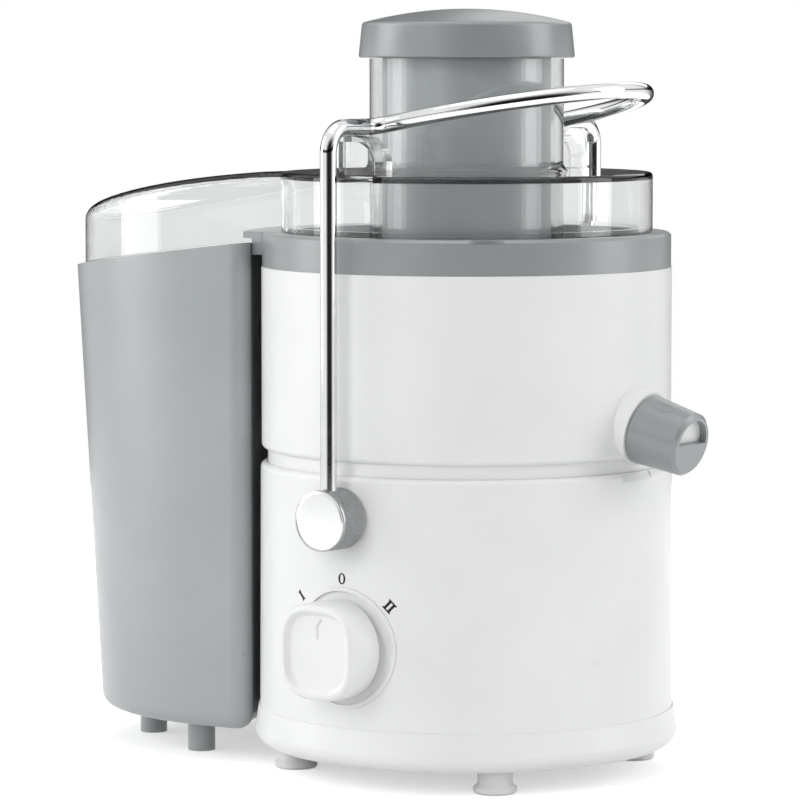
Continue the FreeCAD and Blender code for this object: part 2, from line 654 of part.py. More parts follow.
def make_motor_mounts():
    """Rubber dampers between the upper bracket and the deck, and their screws."""
    dampers = body("motor_mount_dampers")
    low = f"({UPPER_BRACKET_Z} + bracket_wall)"
    places = four_sides("damper_place")
    disc(dampers, "damper_r", low, f"{low} + damper_height", places)
    disc(dampers, "screw_r + 0.1", f"{low} - 1", f"{low} + damper_height + 1", places, cut=True)
    screws = body("motor_mount_screws")
    disc(screws, "screw_head_r", f"{UPPER_BRACKET_Z} - 2", UPPER_BRACKET_Z, places)
    disc(screws, "screw_r", UPPER_BRACKET_Z, f"{DECK_BOTTOM} + 1", places)


def ring(label, inner, outer, low, high):
    """A plain ring round the spindle."""
    made = body(label)
    disc(made, outer, low, high)
    disc(made, inner, f"{low} - 1", f"{high} + 1", cut=True)
    return made


def make_bearings_and_seal():
    """Two ball bearings and the seal where the shaft leaves the housing."""
    for label, low in (("lower_bearing", LOWER_BRACKET_Z), ("upper_bearing", UPPER_BRACKET_Z)):
        ring(label, "shaft_r + run_gap", "bearing_r - run_gap", low, f"{low} + bearing_height")
    ring("shaft_seal", "shaft_r + run_gap", "seal_r - run_gap", DECK_BOTTOM, NECK_Z)


def make_armature():
    """Shaft with the armature's core, windings and commutator."""
    shaft = body("motor_shaft")
    disc(shaft, "shaft_r", f"{FAN_Z} - 2", f"{HUB_Z} - 3")
    core = ring("armature_core", "shaft_r", "rotor_r", "stator_base + 2", f"{STATOR_TOP} - 2")
    slot = block(core, ("rotor_r - 5", "-1.2", "stator_base"), ("rotor_r + 1", "1.2", STATOR_TOP), cut=True)
    ring_of(core, slot, 12)
    windings = body("armature_windings")
    for low, high in (("stator_base - 1.5", "stator_base + 2"), (f"{STATOR_TOP} - 2", f"{STATOR_TOP} + 2.5")):
        disc(windings, "rotor_r - 3", low, high)
        disc(windings, "shaft_r + 2", f"{low} - 0.01", f"{high} + 0.01", cut=True)
    disc(windings, "1", "stator_base + 1", f"{STATOR_TOP} - 1", [("rotor_r - 2.5", "0")])
    ring("commutator", "shaft_r", "commutator_r", f"{STATOR_TOP} + 2.5", f"{STATOR_TOP} + 14")


def make_brushes():
    """Two carbon brushes in holders that hang from the upper bracket."""
    holders = body("brush_holders")
    brushes = body("carbon_brushes")
    low, high = f"{STATOR_TOP} + 5", f"{STATOR_TOP} + 13"

    def outwards(end, near, far):
        return (near, far) if end > 0 else (f"-({far})", f"-({near})")

    for end in (1, -1):
        ys = outwards(end, "commutator_r + 1.5", "commutator_r + 17")
        block(holders, ("-4.5", ys[0], low), ("4.5", ys[1], high))
        foot = outwards(end, "coil_r - 4", "coil_r + 1")
        block(holders, ("-4.5", foot[0], f"{high} - 1"), ("4.5", foot[1], UPPER_BRACKET_Z))
        channel = ("3", f"{ys[1]} + 1", f"{high} - 1")
        block(holders, ("-3", f"{ys[0]} - 1", f"{low} + 1"), channel, cut=True)
        brush = outwards(end, "commutator_r + run_gap", "commutator_r + 11")
        block(brushes, ("-2.8", brush[0], f"{low} + 1.2"), ("2.8", brush[1], f"{high} - 1.2"))


def make_fan():
    """Cooling fan at the lower end of the shaft."""
    fan = ring("cooling_fan", "shaft_r", "shaft_r + 3", FAN_Z, f"{FAN_Z} + fan_height")
    disc(fan, "fan_r", f"{FAN_Z} + fan_height - 1.5", f"{FAN_Z} + fan_height")
    disc(fan, "shaft_r", f"{FAN_Z} - 1", f"{FAN_Z} + fan_height + 1", cut=True)
    blade_low = ("shaft_r + 2", "-0.7", FAN_Z)
    blade = block(fan, blade_low, ("fan_r - 0.5", "0.7", f"{FAN_Z} + fan_height - 1"))
    ring_of(fan, blade, 9)


def make_coupling():
    """Splined coupling on the shaft, which the basket's hub slips over."""
    coupling = body("drive_coupling")
    disc(coupling, "coupling_r - 1.4", COUPLING_Z, HUB_Z)
    rib = block(coupling, ("0", "-1.3", COUPLING_Z), ("coupling_r", "1.3", HUB_Z))
    ring_of(coupling, rib, 6)
    disc(coupling, "shaft_r", f"{COUPLING_Z} - 1", f"{HUB_Z} - 3", cut=True)


def make_basket():
    """Basket hub, sheet cone, grating disc and rim."""
    hub = body("basket_hub")
    bore_r = "(coupling_r + fit_gap)"
    low, plate = f"({COUPLING_Z} + 4)", f"({TUBE_TOP_Z} + 1)"
    hub_outline = [
        ("0", f"{HUB_Z} + fit_gap"),
        (bore_r, f"{HUB_Z} + fit_gap"),
        (bore_r, low),
        ("hub_r", low),
        ("hub_r", plate),
        ("hub_r * 2", plate),
        ("hub_r * 2", f"{GRATER_Z} - basket_sheet"),
        ("0", f"{GRATER_Z} - basket_sheet"),
    ]
    turn(hub, hub_outline)
    basket = body("filter_basket")
    basket_outline = [
        ("hub_r + 5", f"{GRATER_Z} - basket_sheet"),
        ("basket_foot_r", f"{GRATER_Z} - basket_sheet"),
        ("basket_top_r", BASKET_TOP_Z),
        ("basket_top_r - basket_sheet", BASKET_TOP_Z),
        ("basket_foot_r - basket_sheet", GRATER_Z),
        ("hub_r + 5", GRATER_Z),
    ]
    turn(basket, basket_outline)
    grater = body("grater_disc")
    disc(grater, "basket_foot_r - 1.5", GRATER_Z, f"{GRATER_Z} + 1.2")
    for reach in (12, 20, 28, 36):
        tooth_low = (f"{reach} - 1.5", "-0.5", f"{GRATER_Z} + 1")
        tooth = block(grater, tooth_low, (f"{reach} + 1.5", "0.5", f"{GRATER_Z} + 2.4"))
        ring_of(grater, tooth, 12)
    rim = body("basket_rim")
    rim_outline = [
        ("basket_top_r + 0.05", f"{BASKET_TOP_Z} - 4"),
        ("basket_top_r + 1.3", f"{BASKET_TOP_Z} - 4"),
        ("basket_top_r + 1.3", f"{BASKET_TOP_Z} + 1"),
        ("basket_top_r - 1.3", f"{BASKET_TOP_Z} + 1"),
        ("basket_top_r - 1.3", BASKET_TOP_Z),
        ("basket_top_r + 0.05", BASKET_TOP_Z),
    ]
    turn(rim, rim_outline)


# ---- juice bowl, spout and collar


def make_bowl():
    """Juice bowl with its central tube, and the spout that is welded into its wall."""
    cup = helper("bowl_cup")
    outline = [
        (SPIGOT_R, DECK_Z),
        (SPIGOT_R, UPPER_Z),
        ("upper_r - shell_edge", UPPER_Z),
        ("upper_r", f"{UPPER_Z} + shell_edge", "shell_edge"),
        ("upper_r", COLLAR_Z),
        (BOWL_BORE_R, COLLAR_Z),
        (BOWL_BORE_R, FLOOR_Z),
        ("hub_tube_r + shell_wall", FLOOR_Z),
        ("hub_tube_r + shell_wall", TUBE_TOP_Z),
        ("hub_tube_r", TUBE_TOP_Z),
        ("hub_tube_r", f"{FLOOR_Z} - shell_wall"),
        (f"{SPIGOT_R} - shell_wall", f"{FLOOR_Z} - shell_wall"),
        (f"{SPIGOT_R} - shell_wall", DECK_Z),
    ]
    turn(cup, outline)
    spout = helper("bowl_spout")
    disc(spout, "flange_r", "-flange_depth", "0.5")
    disc(spout, "stub_r", "0", "stub_length")
    groove = [(GROOVE_R, "3"), ("stub_r + 1", "3"), ("stub_r + 1", "4.3"), (GROOVE_R, "4.3")]
    turn(spout, groove, cut=True)
    lay_along_spout(spout)
    inside = helper("bowl_inside")
    disc(inside, f"{BOWL_BORE_R}", f"{SEAM_Z} - 20", COLLAR_Z)
    bore = helper("spout_bore")
    disc(bore, "stub_bore_r", "-14", "stub_length - shell_wall")
    block(bore, ("0", "-stub_r", "stub_length - shell_wall - 1"), ("stub_r", "stub_r", "stub_length + 1"))
    lay_along_spout(bore)
    trimmed = boolean("Cut", "spout_outside", spout, inside)
    boolean("Cut", "juice_bowl", cup, trimmed, piece=True)
    boolean("Cut", "juice_spout", trimmed, spout_passage(bore), piece=True)


def spout_passage(bore):
    """The spout's bore, with its half-open end held inside the tube."""
    limit = helper("spout_limit")
    disc(limit, "stub_bore_r", "-14", "stub_length + 1")
    lay_along_spout(limit)
    return boolean("Common", "spout_passage", bore, limit)


def make_drip_cap():
    """Drip stop: a sleeve that turns on the spout and opens or shuts its end."""
    cap = body("drip_stop_cap")
    end = "(stub_length + fit_gap)"
    bore_r = "(stub_r + fit_gap)"
    outline = [
        (bore_r, "1"),
        ("drip_cap_r", "1"),
        ("drip_cap_tip_r", f"{end} + drip_plate - drip_edge"),
        ("drip_cap_tip_r - drip_edge", f"{end} + drip_plate"),
        ("0", f"{end} + drip_plate"),
        ("0", end),
        (bore_r, end),
    ]
    turn(cap, outline)
    window = sketch_on(cap, "XY", f"{end} - 0.1")
    half = "(stub_bore_r + 0.8)"
    path(window, [("-0.4", half), (f"-0.4 - {half}", "0", half), ("-0.4", f"-{half}", half)], closed=True)
    extrude(cap, window, "drip_plate + 1", cut=True)
    lay_along_spout(cap)


def make_spout_seal():
    """Silicone ring between the spout's end and the drip stop."""
    seal = ring("spout_seal", GROOVE_R, "stub_r + fit_gap / 2", "3", "4.2")
    lay_along_spout(seal)


def make_collar():
    """Grey collar on the bowl, with the tongue that leads the pulp into the container."""
    collar = helper("collar_ring")
    spigot_r = f"({BOWL_BORE_R} - fit_gap)"
    outline = [
        ("collar_r", COLLAR_Z),
        ("collar_r", f"{LID_Z} - 1"),
        ("collar_r - 1", LID_Z),
        ("collar_bore_r", LID_Z),
        ("collar_bore_r", f"{LID_Z} - shell_wall"),
        (f"{spigot_r} - shell_wall", f"{LID_Z} - shell_wall"),
        (f"{spigot_r} - shell_wall", f"{COLLAR_Z} - collar_spigot"),
        (spigot_r, f"{COLLAR_Z} - collar_spigot"),
        (spigot_r, COLLAR_Z),
    ]
    turn(collar, outline)
    # finger notch in the collar's top edge, a round cut from outside
    notch_place = ("(collar_r + notch_out) * sin(notch_turn)", "-(collar_r + notch_out) * cos(notch_turn)")
    disc(collar, "notch_r", f"{LID_Z} - notch_depth", f"{LID_Z} + 1", [notch_place], cut=True)
    # the tongue: a lip over the container's near wall, and an apron that fills the gap below it
    tongue = helper("collar_tongue")
    tongue_outline = [
        ("collar_r - 3", f"{LID_Z} - tongue_apron"),
        ("tongue_reach - tongue_lap - fit_gap", f"{LID_Z} - tongue_apron"),
        ("tongue_reach - tongue_lap - fit_gap", f"{LID_Z} - shell_wall"),
        ("tongue_reach", f"{LID_Z} - shell_wall"),
        ("tongue_reach", LID_Z),
        ("collar_r - 3", LID_Z),
    ]
    turn(tongue, tongue_outline)
    off_low = ("-tongue_half", "-tongue_reach - 5", f"{LID_Z} - tongue_apron - 1")
    block(tongue, off_low, ("tongue_reach + 5", "tongue_reach + 5", f"{LID_Z} + 1"), cut=True)
    for side in (-1, 1):
        near = ("-tongue_reach - 5", f"{side} * tongue_half", f"{LID_Z} - tongue_apron - 1")
        far = ("tongue_reach + 5", f"{side} * (tongue_reach + 5)", f"{LID_Z} + 1")
        block(tongue, near, far, cut=True)
    boolean("Fuse", "pulp_collar", collar, tongue, piece=True)


# ---- clear lid with chute, hood and ears


def rim_level(place):
    """Height of the container's rim at a distance from the spindle."""
    return f"(rim_high - ({place} - rim_near) * tan(rim_slope))"


def hood(label, inset, drop, lift):
    """The hood as a solid: an oval, cut to the curve of its top and to the slope of the rim."""
    solid = helper(label)
    low = f"{rim_level('hood_end')} - 20"
    outline = sketch_on(solid, "XY", low)
    oval(outline, "-pod_centre", f"pod_length_r - {inset}", f"pod_width_r - {inset}")
    extrude(solid, outline, f"{LID_TOP_Z} - {drop} - ({low})")
    top = f"({LID_TOP_Z} - {drop})"
    above = [
        ("-hood_end", f"{top} - hood_drop"),
        ("-hood_start", top, "-hood_curve_r"),
        ("-hood_start", f"{top} + 10"),
        ("-hood_end - 40", f"{top} + 10"),
        ("-hood_end - 40", f"{top} - hood_drop"),
    ]
    below = [
        ("-hood_end - 40", f"{low} - 10"),
        ("40", f"{low} - 10"),
        ("40", f"{rim_level('-40')} + {lift}"),
        ("-hood_end - 40", f"{rim_level('(hood_end + 40)')} + {lift}"),
    ]
    for points in (above, below):
        sketch = sketch_on(solid, "XZ", "-pod_width_r - 10")
        path(sketch, points, closed=True)
        extrude(solid, sketch, "2 * pod_width_r + 20", cut=True)
    edge_low = number(f"{top} - hood_drop") - 1
    rounded(solid, f"hood_edge - {drop}", lambda edge: edge.BoundBox.ZMin > edge_low and not straight(edge))
    return solid


def straight(edge):
    """True for a straight edge."""
    return isinstance(edge.Curve, (Part.Line, Part.LineSegment))


def make_lid():
    """Clear lid: a round drum, the feed chute, the hood over the container and two ears."""
    skirt_z = f"({LID_Z} - lid_skirt)"
    drum = helper("lid_drum")
    drum_outline = [
        ("0", skirt_z),
        (SKIRT_R, skirt_z),
        (SKIRT_R, LID_Z),
        ("lid_r", LID_Z),
        ("lid_r", f"{LID_TOP_Z} - 1.5"),
        ("lid_r - 1.5", LID_TOP_Z, "1.5"),
        ("0", LID_TOP_Z),
    ]
    turn(drum, drum_outline)
    hollow = helper("lid_hollow")
    hollow_outline = [
        ("0", f"{skirt_z} - 1"),
        (f"{SKIRT_R} - shell_wall", f"{skirt_z} - 1"),
        (f"{SKIRT_R} - shell_wall", f"{LID_Z} + 2"),
        ("lid_r - shell_wall", f"{LID_Z} + 2"),
        ("lid_r - shell_wall", f"{LID_TOP_Z} - shell_wall"),
        ("0", f"{LID_TOP_Z} - shell_wall"),
    ]
    turn(hollow, hollow_outline)
    chute = helper("lid_chute")
    chute_outline = [
        ("0", CHUTE_Z),
        ("chute_r", CHUTE_Z),
        ("chute_r", f"{LID_TOP_Z} - shell_wall"),
        ("chute_r + chute_flare", f"{LID_TOP_Z} - shell_wall"),
        ("chute_r + chute_flare", LID_TOP_Z),
        ("chute_r", f"{LID_TOP_Z} + chute_flare", "-chute_flare"),
        ("chute_r", CHUTE_TOP_Z),
        ("0", CHUTE_TOP_Z),
    ]
    turn(chute, chute_outline)
    ears = helper("lid_ears")
    for near in ("ear_inner", "-ear_inner - ear_length"):
        ear_sketch = sketch_on(ears, "XZ", near)
        ear_outline = [
            ("-ear_half", f"{LID_TOP_Z} - 1"),
            ("ear_half", f"{LID_TOP_Z} - 1"),
            ("ear_half", f"{EAR_TOP_Z} - ear_round"),
            ("ear_half - ear_round", EAR_TOP_Z, "ear_round"),
            ("-ear_half", EAR_TOP_Z),
        ]
        path(ear_sketch, ear_outline, closed=True)
        extrude(ears, ear_sketch, "ear_length")
    rooms = helper("ear_rooms")
    for near in ("ear_inner + ear_wall", "ear_wall - ear_inner - ear_length"):
        room_sketch = sketch_on(rooms, "XZ", near)
        room_outline = [
            ("ear_wall - ear_half", f"{LID_TOP_Z} - shell_wall - 1"),
            ("ear_half - ear_wall", f"{LID_TOP_Z} - shell_wall - 1"),
            ("ear_half - ear_wall", f"{EAR_TOP_Z} - ear_round"),
            ("ear_half - ear_round", f"{EAR_TOP_Z} - ear_wall", "ear_round - ear_wall"),
            ("ear_wall - ear_half", f"{EAR_TOP_Z} - ear_wall"),
        ]
        path(room_sketch, room_outline, closed=True)
        extrude(rooms, room_sketch, "ear_length - 2 * ear_wall")
    bore = helper("chute_bore")
    disc(bore, "chute_bore_r", f"{CHUTE_Z} - 1", f"{CHUTE_TOP_Z} + 1")
    keep_out = helper("collar_room")
    room_outline = [
        (f"{SKIRT_R} + 0.2", f"{COLLAR_Z} - 20"),
        ("collar_r + fit_gap", f"{COLLAR_Z} - 20"),
        ("collar_r + fit_gap", LID_Z),
        (f"{SKIRT_R} + 0.2", LID_Z),
    ]
    turn(keep_out, room_outline)
    tongue_low = ("-tongue_reach - fit_gap", "-tongue_half - fit_gap", f"{COLLAR_Z} - 20")
    block(keep_out, tongue_low, (f"-{SKIRT_R} - 0.5", "tongue_half + fit_gap", LID_Z))
    hood_outer = hood("hood_outside", "hood_inset", "0", "hood_lift")
    hood_inner = hood("hood_inside", "(hood_inset + shell_wall)", "shell_wall", "(hood_lift - 10)")
    outside = boolean("Fuse", "lid_outside", drum, hood_outer)
    inside = boolean("Fuse", "lid_inside", hollow, hood_inner)
    shell = boolean("Cut", "lid_shell", outside, inside)
    with_chute = boolean("Fuse", "lid_with_chute", shell, chute)
    with_ears = boolean("Fuse", "lid_with_ears", with_chute, ears)
    hollowed = boolean("Cut", "lid_ears_hollowed", with_ears, rooms)
    bored = boolean("Cut", "lid_bored", hollowed, bore)
    boolean("Cut", "lid", bored, keep_out, piece=True)


def make_pusher():
    """Pusher: a cup that slides in the chute, and the domed cap on top of it."""
    pusher = body("pusher")
    flange_r = "(cap_r - shell_wall - fit_gap - 0.4)"
    low = f"({CHUTE_Z} + 1)"
    outline = [
        ("0", low),
        ("pusher_r - 1.5", low),
        ("pusher_r", f"{low} + 1.5"),
        ("pusher_r", CAP_Z),
        (flange_r, CAP_Z),
        (flange_r, f"{CAP_Z} + 2"),
        ("pusher_r - pusher_wall", f"{CAP_Z} + 2"),
        ("pusher_r - pusher_wall", f"{low} + pusher_wall"),
        ("0", f"{low} + pusher_wall"),
    ]
    turn(pusher, outline)
    cap = body("pusher_cap")
    top = f"({CAP_Z} + cap_height)"
    dome_r = "((cap_top_r^2 + cap_dome^2) / (2 * cap_dome))"
    under_r = "(((cap_top_r - shell_wall)^2 + cap_dome^2) / (2 * cap_dome))"
    cap_outline = [
        ("cap_r", CAP_Z),
        ("cap_top_r", top),
        ("0", f"{top} + cap_dome", dome_r),
        ("0", f"{top} + cap_dome - shell_wall"),
        ("cap_top_r - shell_wall", f"{top} - shell_wall", f"-{under_r}"),
        ("cap_r - shell_wall", CAP_Z),
    ]
    turn(cap, cap_outline)


# ---- pulp container


def pod(label, inset, floor, corner, edge):
    """The container as a solid: oval, tapering to its foot and hollowed to clear the housing."""
    solid = helper(label)
    top = "(rim_high + 12)"
    foot = sketch_on(solid, "XY", floor)
    oval(foot, "-pod_foot_centre", f"pod_foot_length_r - {inset}", f"pod_foot_width_r - {inset}")
    mouth = sketch_on(solid, "XY", top)
    oval(mouth, "-pod_centre", f"pod_length_r - {inset}", f"pod_width_r - {inset}")
    loft = solid.newObject("PartDesign::AdditiveLoft", f"{label}_loft")
    loft.Profile = foot
    loft.Sections = [mouth]
    checked(solid, loft, 0)
    disc(solid, f"housing_r + pod_gap + {inset}", "0", "rim_high + 40", cut=True)
    above = sketch_on(solid, "XZ", "-pod_width_r - 10")
    slope = [
        ("-pod_centre - pod_length_r - 20", rim_level("(pod_centre + pod_length_r + 20)")),
        ("0", rim_level("0")),
        ("0", "rim_high + 40"),
        ("-pod_centre - pod_length_r - 20", "rim_high + 40"),
    ]
    path(above, slope, closed=True)
    extrude(solid, above, "2 * pod_width_r + 20", cut=True)
    base = number(floor)
    rounded(solid, corner, lambda e: is_corner(e))
    rounded(solid, edge, lambda e: e.BoundBox.ZMax < base + 0.1)
    return solid


def is_corner(edge):
    """True for the two long upright edges where the oval meets the hollow for the housing."""
    ends = [vertex.Point for vertex in edge.Vertexes]
    return len(ends) == 2 and abs(ends[0].z - ends[1].z) > 100 and abs(ends[0].y) > 20


def make_container():
    """Pulp container with its four pegs and the catch under the collar's tongue."""
    outside = pod("pod_outside", "0", "pod_floor", "pod_corner", "pod_edge")
    inner_sizes = [f"({outer} - shell_wall)" for outer in ("pod_corner", "pod_edge")]
    inside = pod("pod_inside", "shell_wall", "(pod_floor + shell_wall)", *inner_sizes)
    shell = boolean("Cut", "pod_shell", outside, inside)
    pegs = helper("pod_pegs")
    near = [("-peg_near_x", f"{side} * peg_near_y") for side in (1, -1)]
    far = [("-peg_far_x", f"{side} * peg_far_y") for side in (1, -1)]
    disc(pegs, "peg_r", "0", "pod_floor + shell_wall", near + far)
    standing = boolean("Fuse", "pod_with_pegs", shell, pegs)
    catch = helper("pod_catch")
    reach = "(housing_r + pod_gap)"
    low = ("-tongue_reach - 1.4", "-catch_half", f"{rim_level('tongue_reach')} - 12")
    block(catch, low, (f"-{reach} - 0.6", "catch_half", f"{LID_Z} - shell_wall - fit_gap"))
    boolean("Fuse", "pulp_container", standing, catch, piece=True)


# ---- bail and interlock


def make_bail_rod():
    """Chromed rod: two legs, bent inwards over the ears, and the loop round the chute."""
    rod = body("bail_rod")
    for side in (1, -1):
        leg = sketch_on(rod, "YZ")
        leg_path = [
            (f"{-side} * rod_place", "pivot_height + pin_r + 1.5"),
            (f"{-side} * rod_place", "rod_top - rod_bend"),
            (f"{-side} * (rod_place - rod_bend)", "rod_top", f"{-side} * rod_bend"),
            (f"{-side} * (loop_half + loop_bend)", "rod_top"),
        ]
        path(leg, leg_path)
        section = sketch_on(rod, "XY", "pivot_height + pin_r + 1.5")
        circle(section, "rod_r", ("0", f"{-side} * rod_place"))
        sweep(rod, section, leg)
    loop = sketch_on(rod, "XY")
    loop.AttachmentOffset = Placement(Vector(0, 0, 0), Rotation(Y_AXIS, -1))
    loop.setExpression("AttachmentOffset.Base.z", bound("rod_top"))
    loop.setExpression("AttachmentOffset.Rotation.Angle", bound("-loop_slope"))
    reach = "(loop_reach - loop_nose_r)"
    side_r = f"((({reach} - loop_bend)^2 + loop_half^2 - loop_nose_r^2) / (2 * (loop_half - loop_nose_r)))"
    span = f"({side_r} - loop_nose_r)"
    join_x = f"({reach} + loop_nose_r * ({reach} - loop_bend) / {span})"
    join_y = f"(loop_nose_r * ({side_r} - loop_half) / {span})"
    loop_path = [
        ("0", "-loop_half - loop_bend"),
        ("loop_bend", "-loop_half", "-loop_bend"),
        (join_x, f"-{join_y}", side_r),
        (join_x, join_y, "loop_nose_r"),
        ("loop_bend", "loop_half", side_r),
        ("0", "loop_half + loop_bend", "-loop_bend"),
    ]
    path(loop, loop_path)
    section = sketch_on(rod, "XZ", "loop_half + loop_bend")
    circle(section, "rod_r", ("0", "rod_top"))
    sweep(rod, section, loop)


def sweep(owner, section, spine):
    """Sweeps a section along a spine."""
    pipe = owner.newObject("PartDesign::AdditivePipe", f"{owner.Name}_sweep")
    pipe.Profile = section
    pipe.Spine = (spine, [f"Edge{n + 1}" for n in range(len(spine.Geometry))])
    return checked(owner, pipe, 0)


def make_pivots():
    """Round pivot caps, and the pins that carry them in the housing."""
    outer = f"({PIVOT_OUT} + pivot_cap_depth)"
    for label, side in (("front", 1), ("rear", -1)):
        cap = body(f"pivot_cap_{label}")
        outline = [
            ("0", PIVOT_OUT),
            ("pivot_cap_r", PIVOT_OUT),
            ("pivot_cap_r", f"{outer} - 0.8"),
            ("pivot_cap_r - 0.8", outer, "0.8"),
            ("0", outer),
        ]
        turn(cap, outline)
        disc(cap, "pin_r", f"{PIVOT_OUT} - 1", "rod_place - 0.5", cut=True)
        levels = ("-pivot_cap_r - 1", "-pin_r - 1.5") if side > 0 else ("pin_r + 1.5", "pivot_cap_r + 1")
        disc(cap, "rod_r", *levels, [("0", "rod_place")], "XZ", cut=True)
        face_front(cap, "pivot_height", side)
        pin = body(f"pivot_pin_{label}")
        disc(pin, "pin_r", f"{PIVOT_IN} - 2", "rod_place - 0.5")
        disc(pin, "pin_r + 2", f"{CAM_FAR}" if side < 0 else f"{PIVOT_IN} - 2", f"{PIVOT_IN} - 0.2")
        if side < 0:
            disc(pin, "cam_r", CAM_NEAR, CAM_FAR)
            disc(pin, "3", CAM_NEAR, CAM_FAR, [("0", "cam_tip - 3")])
        face_front(pin, "pivot_height", side)


def make_interlock():
    """Microswitch that the rear pivot's cam holds down while the bail is locked."""
    switch = body("interlock_switch")
    top = "(pivot_height - cam_tip - 3.5)"
    low = ("-5", f"{CAM_NEAR} - 2", f"{top} - 10")
    block(switch, low, ("5", "housing_r - 6", top))
    middle = [("0", f"({CAM_NEAR} + {CAM_FAR}) / 2")]
    disc(switch, "plunger_r + run_gap", f"{top} - 4", f"{top} + 1", middle, cut=True)
    plunger = body("interlock_plunger")
    disc(plunger, "plunger_r", f"{top} - 3.8", "pivot_height - cam_tip - 0.2", middle)


# ---- speed control and mains inlet


def make_bezel():
    """Ring round the speed knob, which follows the housing's curve."""
    whole = helper("bezel_disc")
    disc(whole, "bezel_r", "housing_r - 5", "housing_r + 3")
    dish = helper("bezel_dish")
    disc(dish, "bezel_r - bezel_rim", "housing_r - 6", "housing_r + 4")
    hole = helper("bezel_hole")
    disc(hole, "pin_r + 1", "housing_r - 6", "housing_r + 4")
    for part in (whole, dish, hole):
        face_front(part, "knob_height")
    proud = helper("bezel_outside")
    disc(proud, "housing_r + 0.4", "0", SEAM_Z)
    sunk = helper("bezel_inside")
    disc(sunk, "housing_r - 0.7", "0", SEAM_Z)
    rim = boolean("Common", "bezel_rim", whole, proud)
    floor = boolean("Cut", "bezel_room", dish, sunk)
    dished = boolean("Cut", "bezel_dished", rim, floor)
    boolean("Cut", "knob_bezel", dished, hole, piece=True)


def make_knob():
    """Speed knob with a rounded-square face on a round base, its shaft and its switch."""
    knob = body("speed_knob")
    disc(knob, "knob_r", KNOB_BACK, f"{KNOB_BACK} + knob_base")
    face = sketch_on(knob, "XY", f"{KNOB_BACK} + knob_base / 2")
    flat = "(knob_side - knob_corner)"
    face_outline = []
    for x, y in ((1, -1), (1, 1), (-1, 1), (-1, -1)):
        along = (f"{x} * knob_side", f"{y} * {flat}")
        across = (f"{x} * {flat}", f"{y} * knob_side")
        first, second = (along, across) if x * y > 0 else (across, along)
        face_outline.append(first)
        face_outline.append(second + ("knob_corner",))
    path(face, face_outline, closed=True)
    extrude(knob, face, "knob_depth - knob_base / 2")
    front = number(f"{KNOB_BACK} + knob_depth")
    rounded(knob, "1.5", lambda e: e.BoundBox.ZMin > front - 0.1)
    disc(knob, "pin_r", f"{KNOB_BACK} - 1", f"{KNOB_BACK} + knob_depth - 3", cut=True)
    face_front(knob, "knob_height")
    shaft = body("knob_shaft")
    disc(shaft, "pin_r", "housing_r - 18", f"{KNOB_BACK} + knob_depth - 3")
    face_front(shaft, "knob_height")
    switch = body("rotary_switch")
    block(switch, ("-14", "-14", "housing_r - 25"), ("14", "14", "housing_r - 7.5"))
    disc(switch, "pin_r + run_gap", "housing_r - 18.5", "housing_r", cut=True)
    for tab in (-8, 0, 8):
        block(switch, (f"{tab} - 2.4", "-0.4", "housing_r - 32"), (f"{tab} + 2.4", "0.4", "housing_r - 24"))
    face_front(switch, "knob_height")


def make_gland():
    """Gland for the mains lead, with its nut inside the wall, and the terminal block."""
    gland = body("cord_gland")
    seat = "(housing_r - 0.9)"
    outline = [
        ("lead_r", f"{HOUSING_BORE_R} - 6"),
        ("gland_r", f"{HOUSING_BORE_R} - 6"),
        ("gland_r", seat),
        ("gland_r + 3", seat),
        ("gland_r + 3", f"{seat} + 3"),
        ("gland_r + 0.8", f"{seat} + 3"),
        ("gland_r - 0.4", f"{seat} + 11"),
        ("lead_r", f"{seat} + 11"),
    ]
    turn(gland, outline)
    face_front(gland, "gland_height", -1)
    nut_levels = (f"{HOUSING_BORE_R} - 5", f"{HOUSING_BORE_R} - 0.9")
    nut = ring("gland_nut", "gland_r + run_gap", "gland_r + 3.2", *nut_levels)
    face_front(nut, "gland_height", -1)
    terminals = body("terminal_block")
    low = ("-24", "40", PAN_TOP)
    block(terminals, low, ("-4", "50", f"{PAN_TOP} + 12"))
    entries = [(place, "45") for place in ("-19", "-14", "-9")]
    disc(terminals, "1.6", f"{PAN_TOP} + 4", f"{PAN_TOP} + 13", entries, cut=True)


def check_and_write():
    """Stops at a failed or invalid object, then writes one STEP file for each piece."""
    doc.recompute()
    for item in doc.Objects:
        if "Invalid" in item.State or "Error" in item.State:
            raise RuntimeError(f"{item.Label} failed: {item.State}")
    for piece in pieces:
        if not piece.Shape.isValid() or not piece.Shape.Solids:
            raise RuntimeError(f"{piece.Label} isn't a valid solid")
    os.makedirs("parts", exist_ok=True)
    for piece in pieces:
        piece.Shape.exportStep(f"parts/{piece.Label}.step")
        print(piece.Label, len(piece.Shape.Solids), round(piece.Shape.Volume))


fill_sheet()
make_base()
make_feet()
make_base_screws()
make_housing()
make_motor_frame()
make_motor_mounts()
make_bearings_and_seal()
make_armature()
make_brushes()
make_fan()
make_coupling()
make_basket()
make_bowl()
make_drip_cap()
make_spout_seal()
make_collar()
make_lid()
make_pusher()
make_container()
make_bail_rod()
make_pivots()
make_interlock()
make_bezel()
make_knob()
make_gland()
check_and_write()
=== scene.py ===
import json
import math

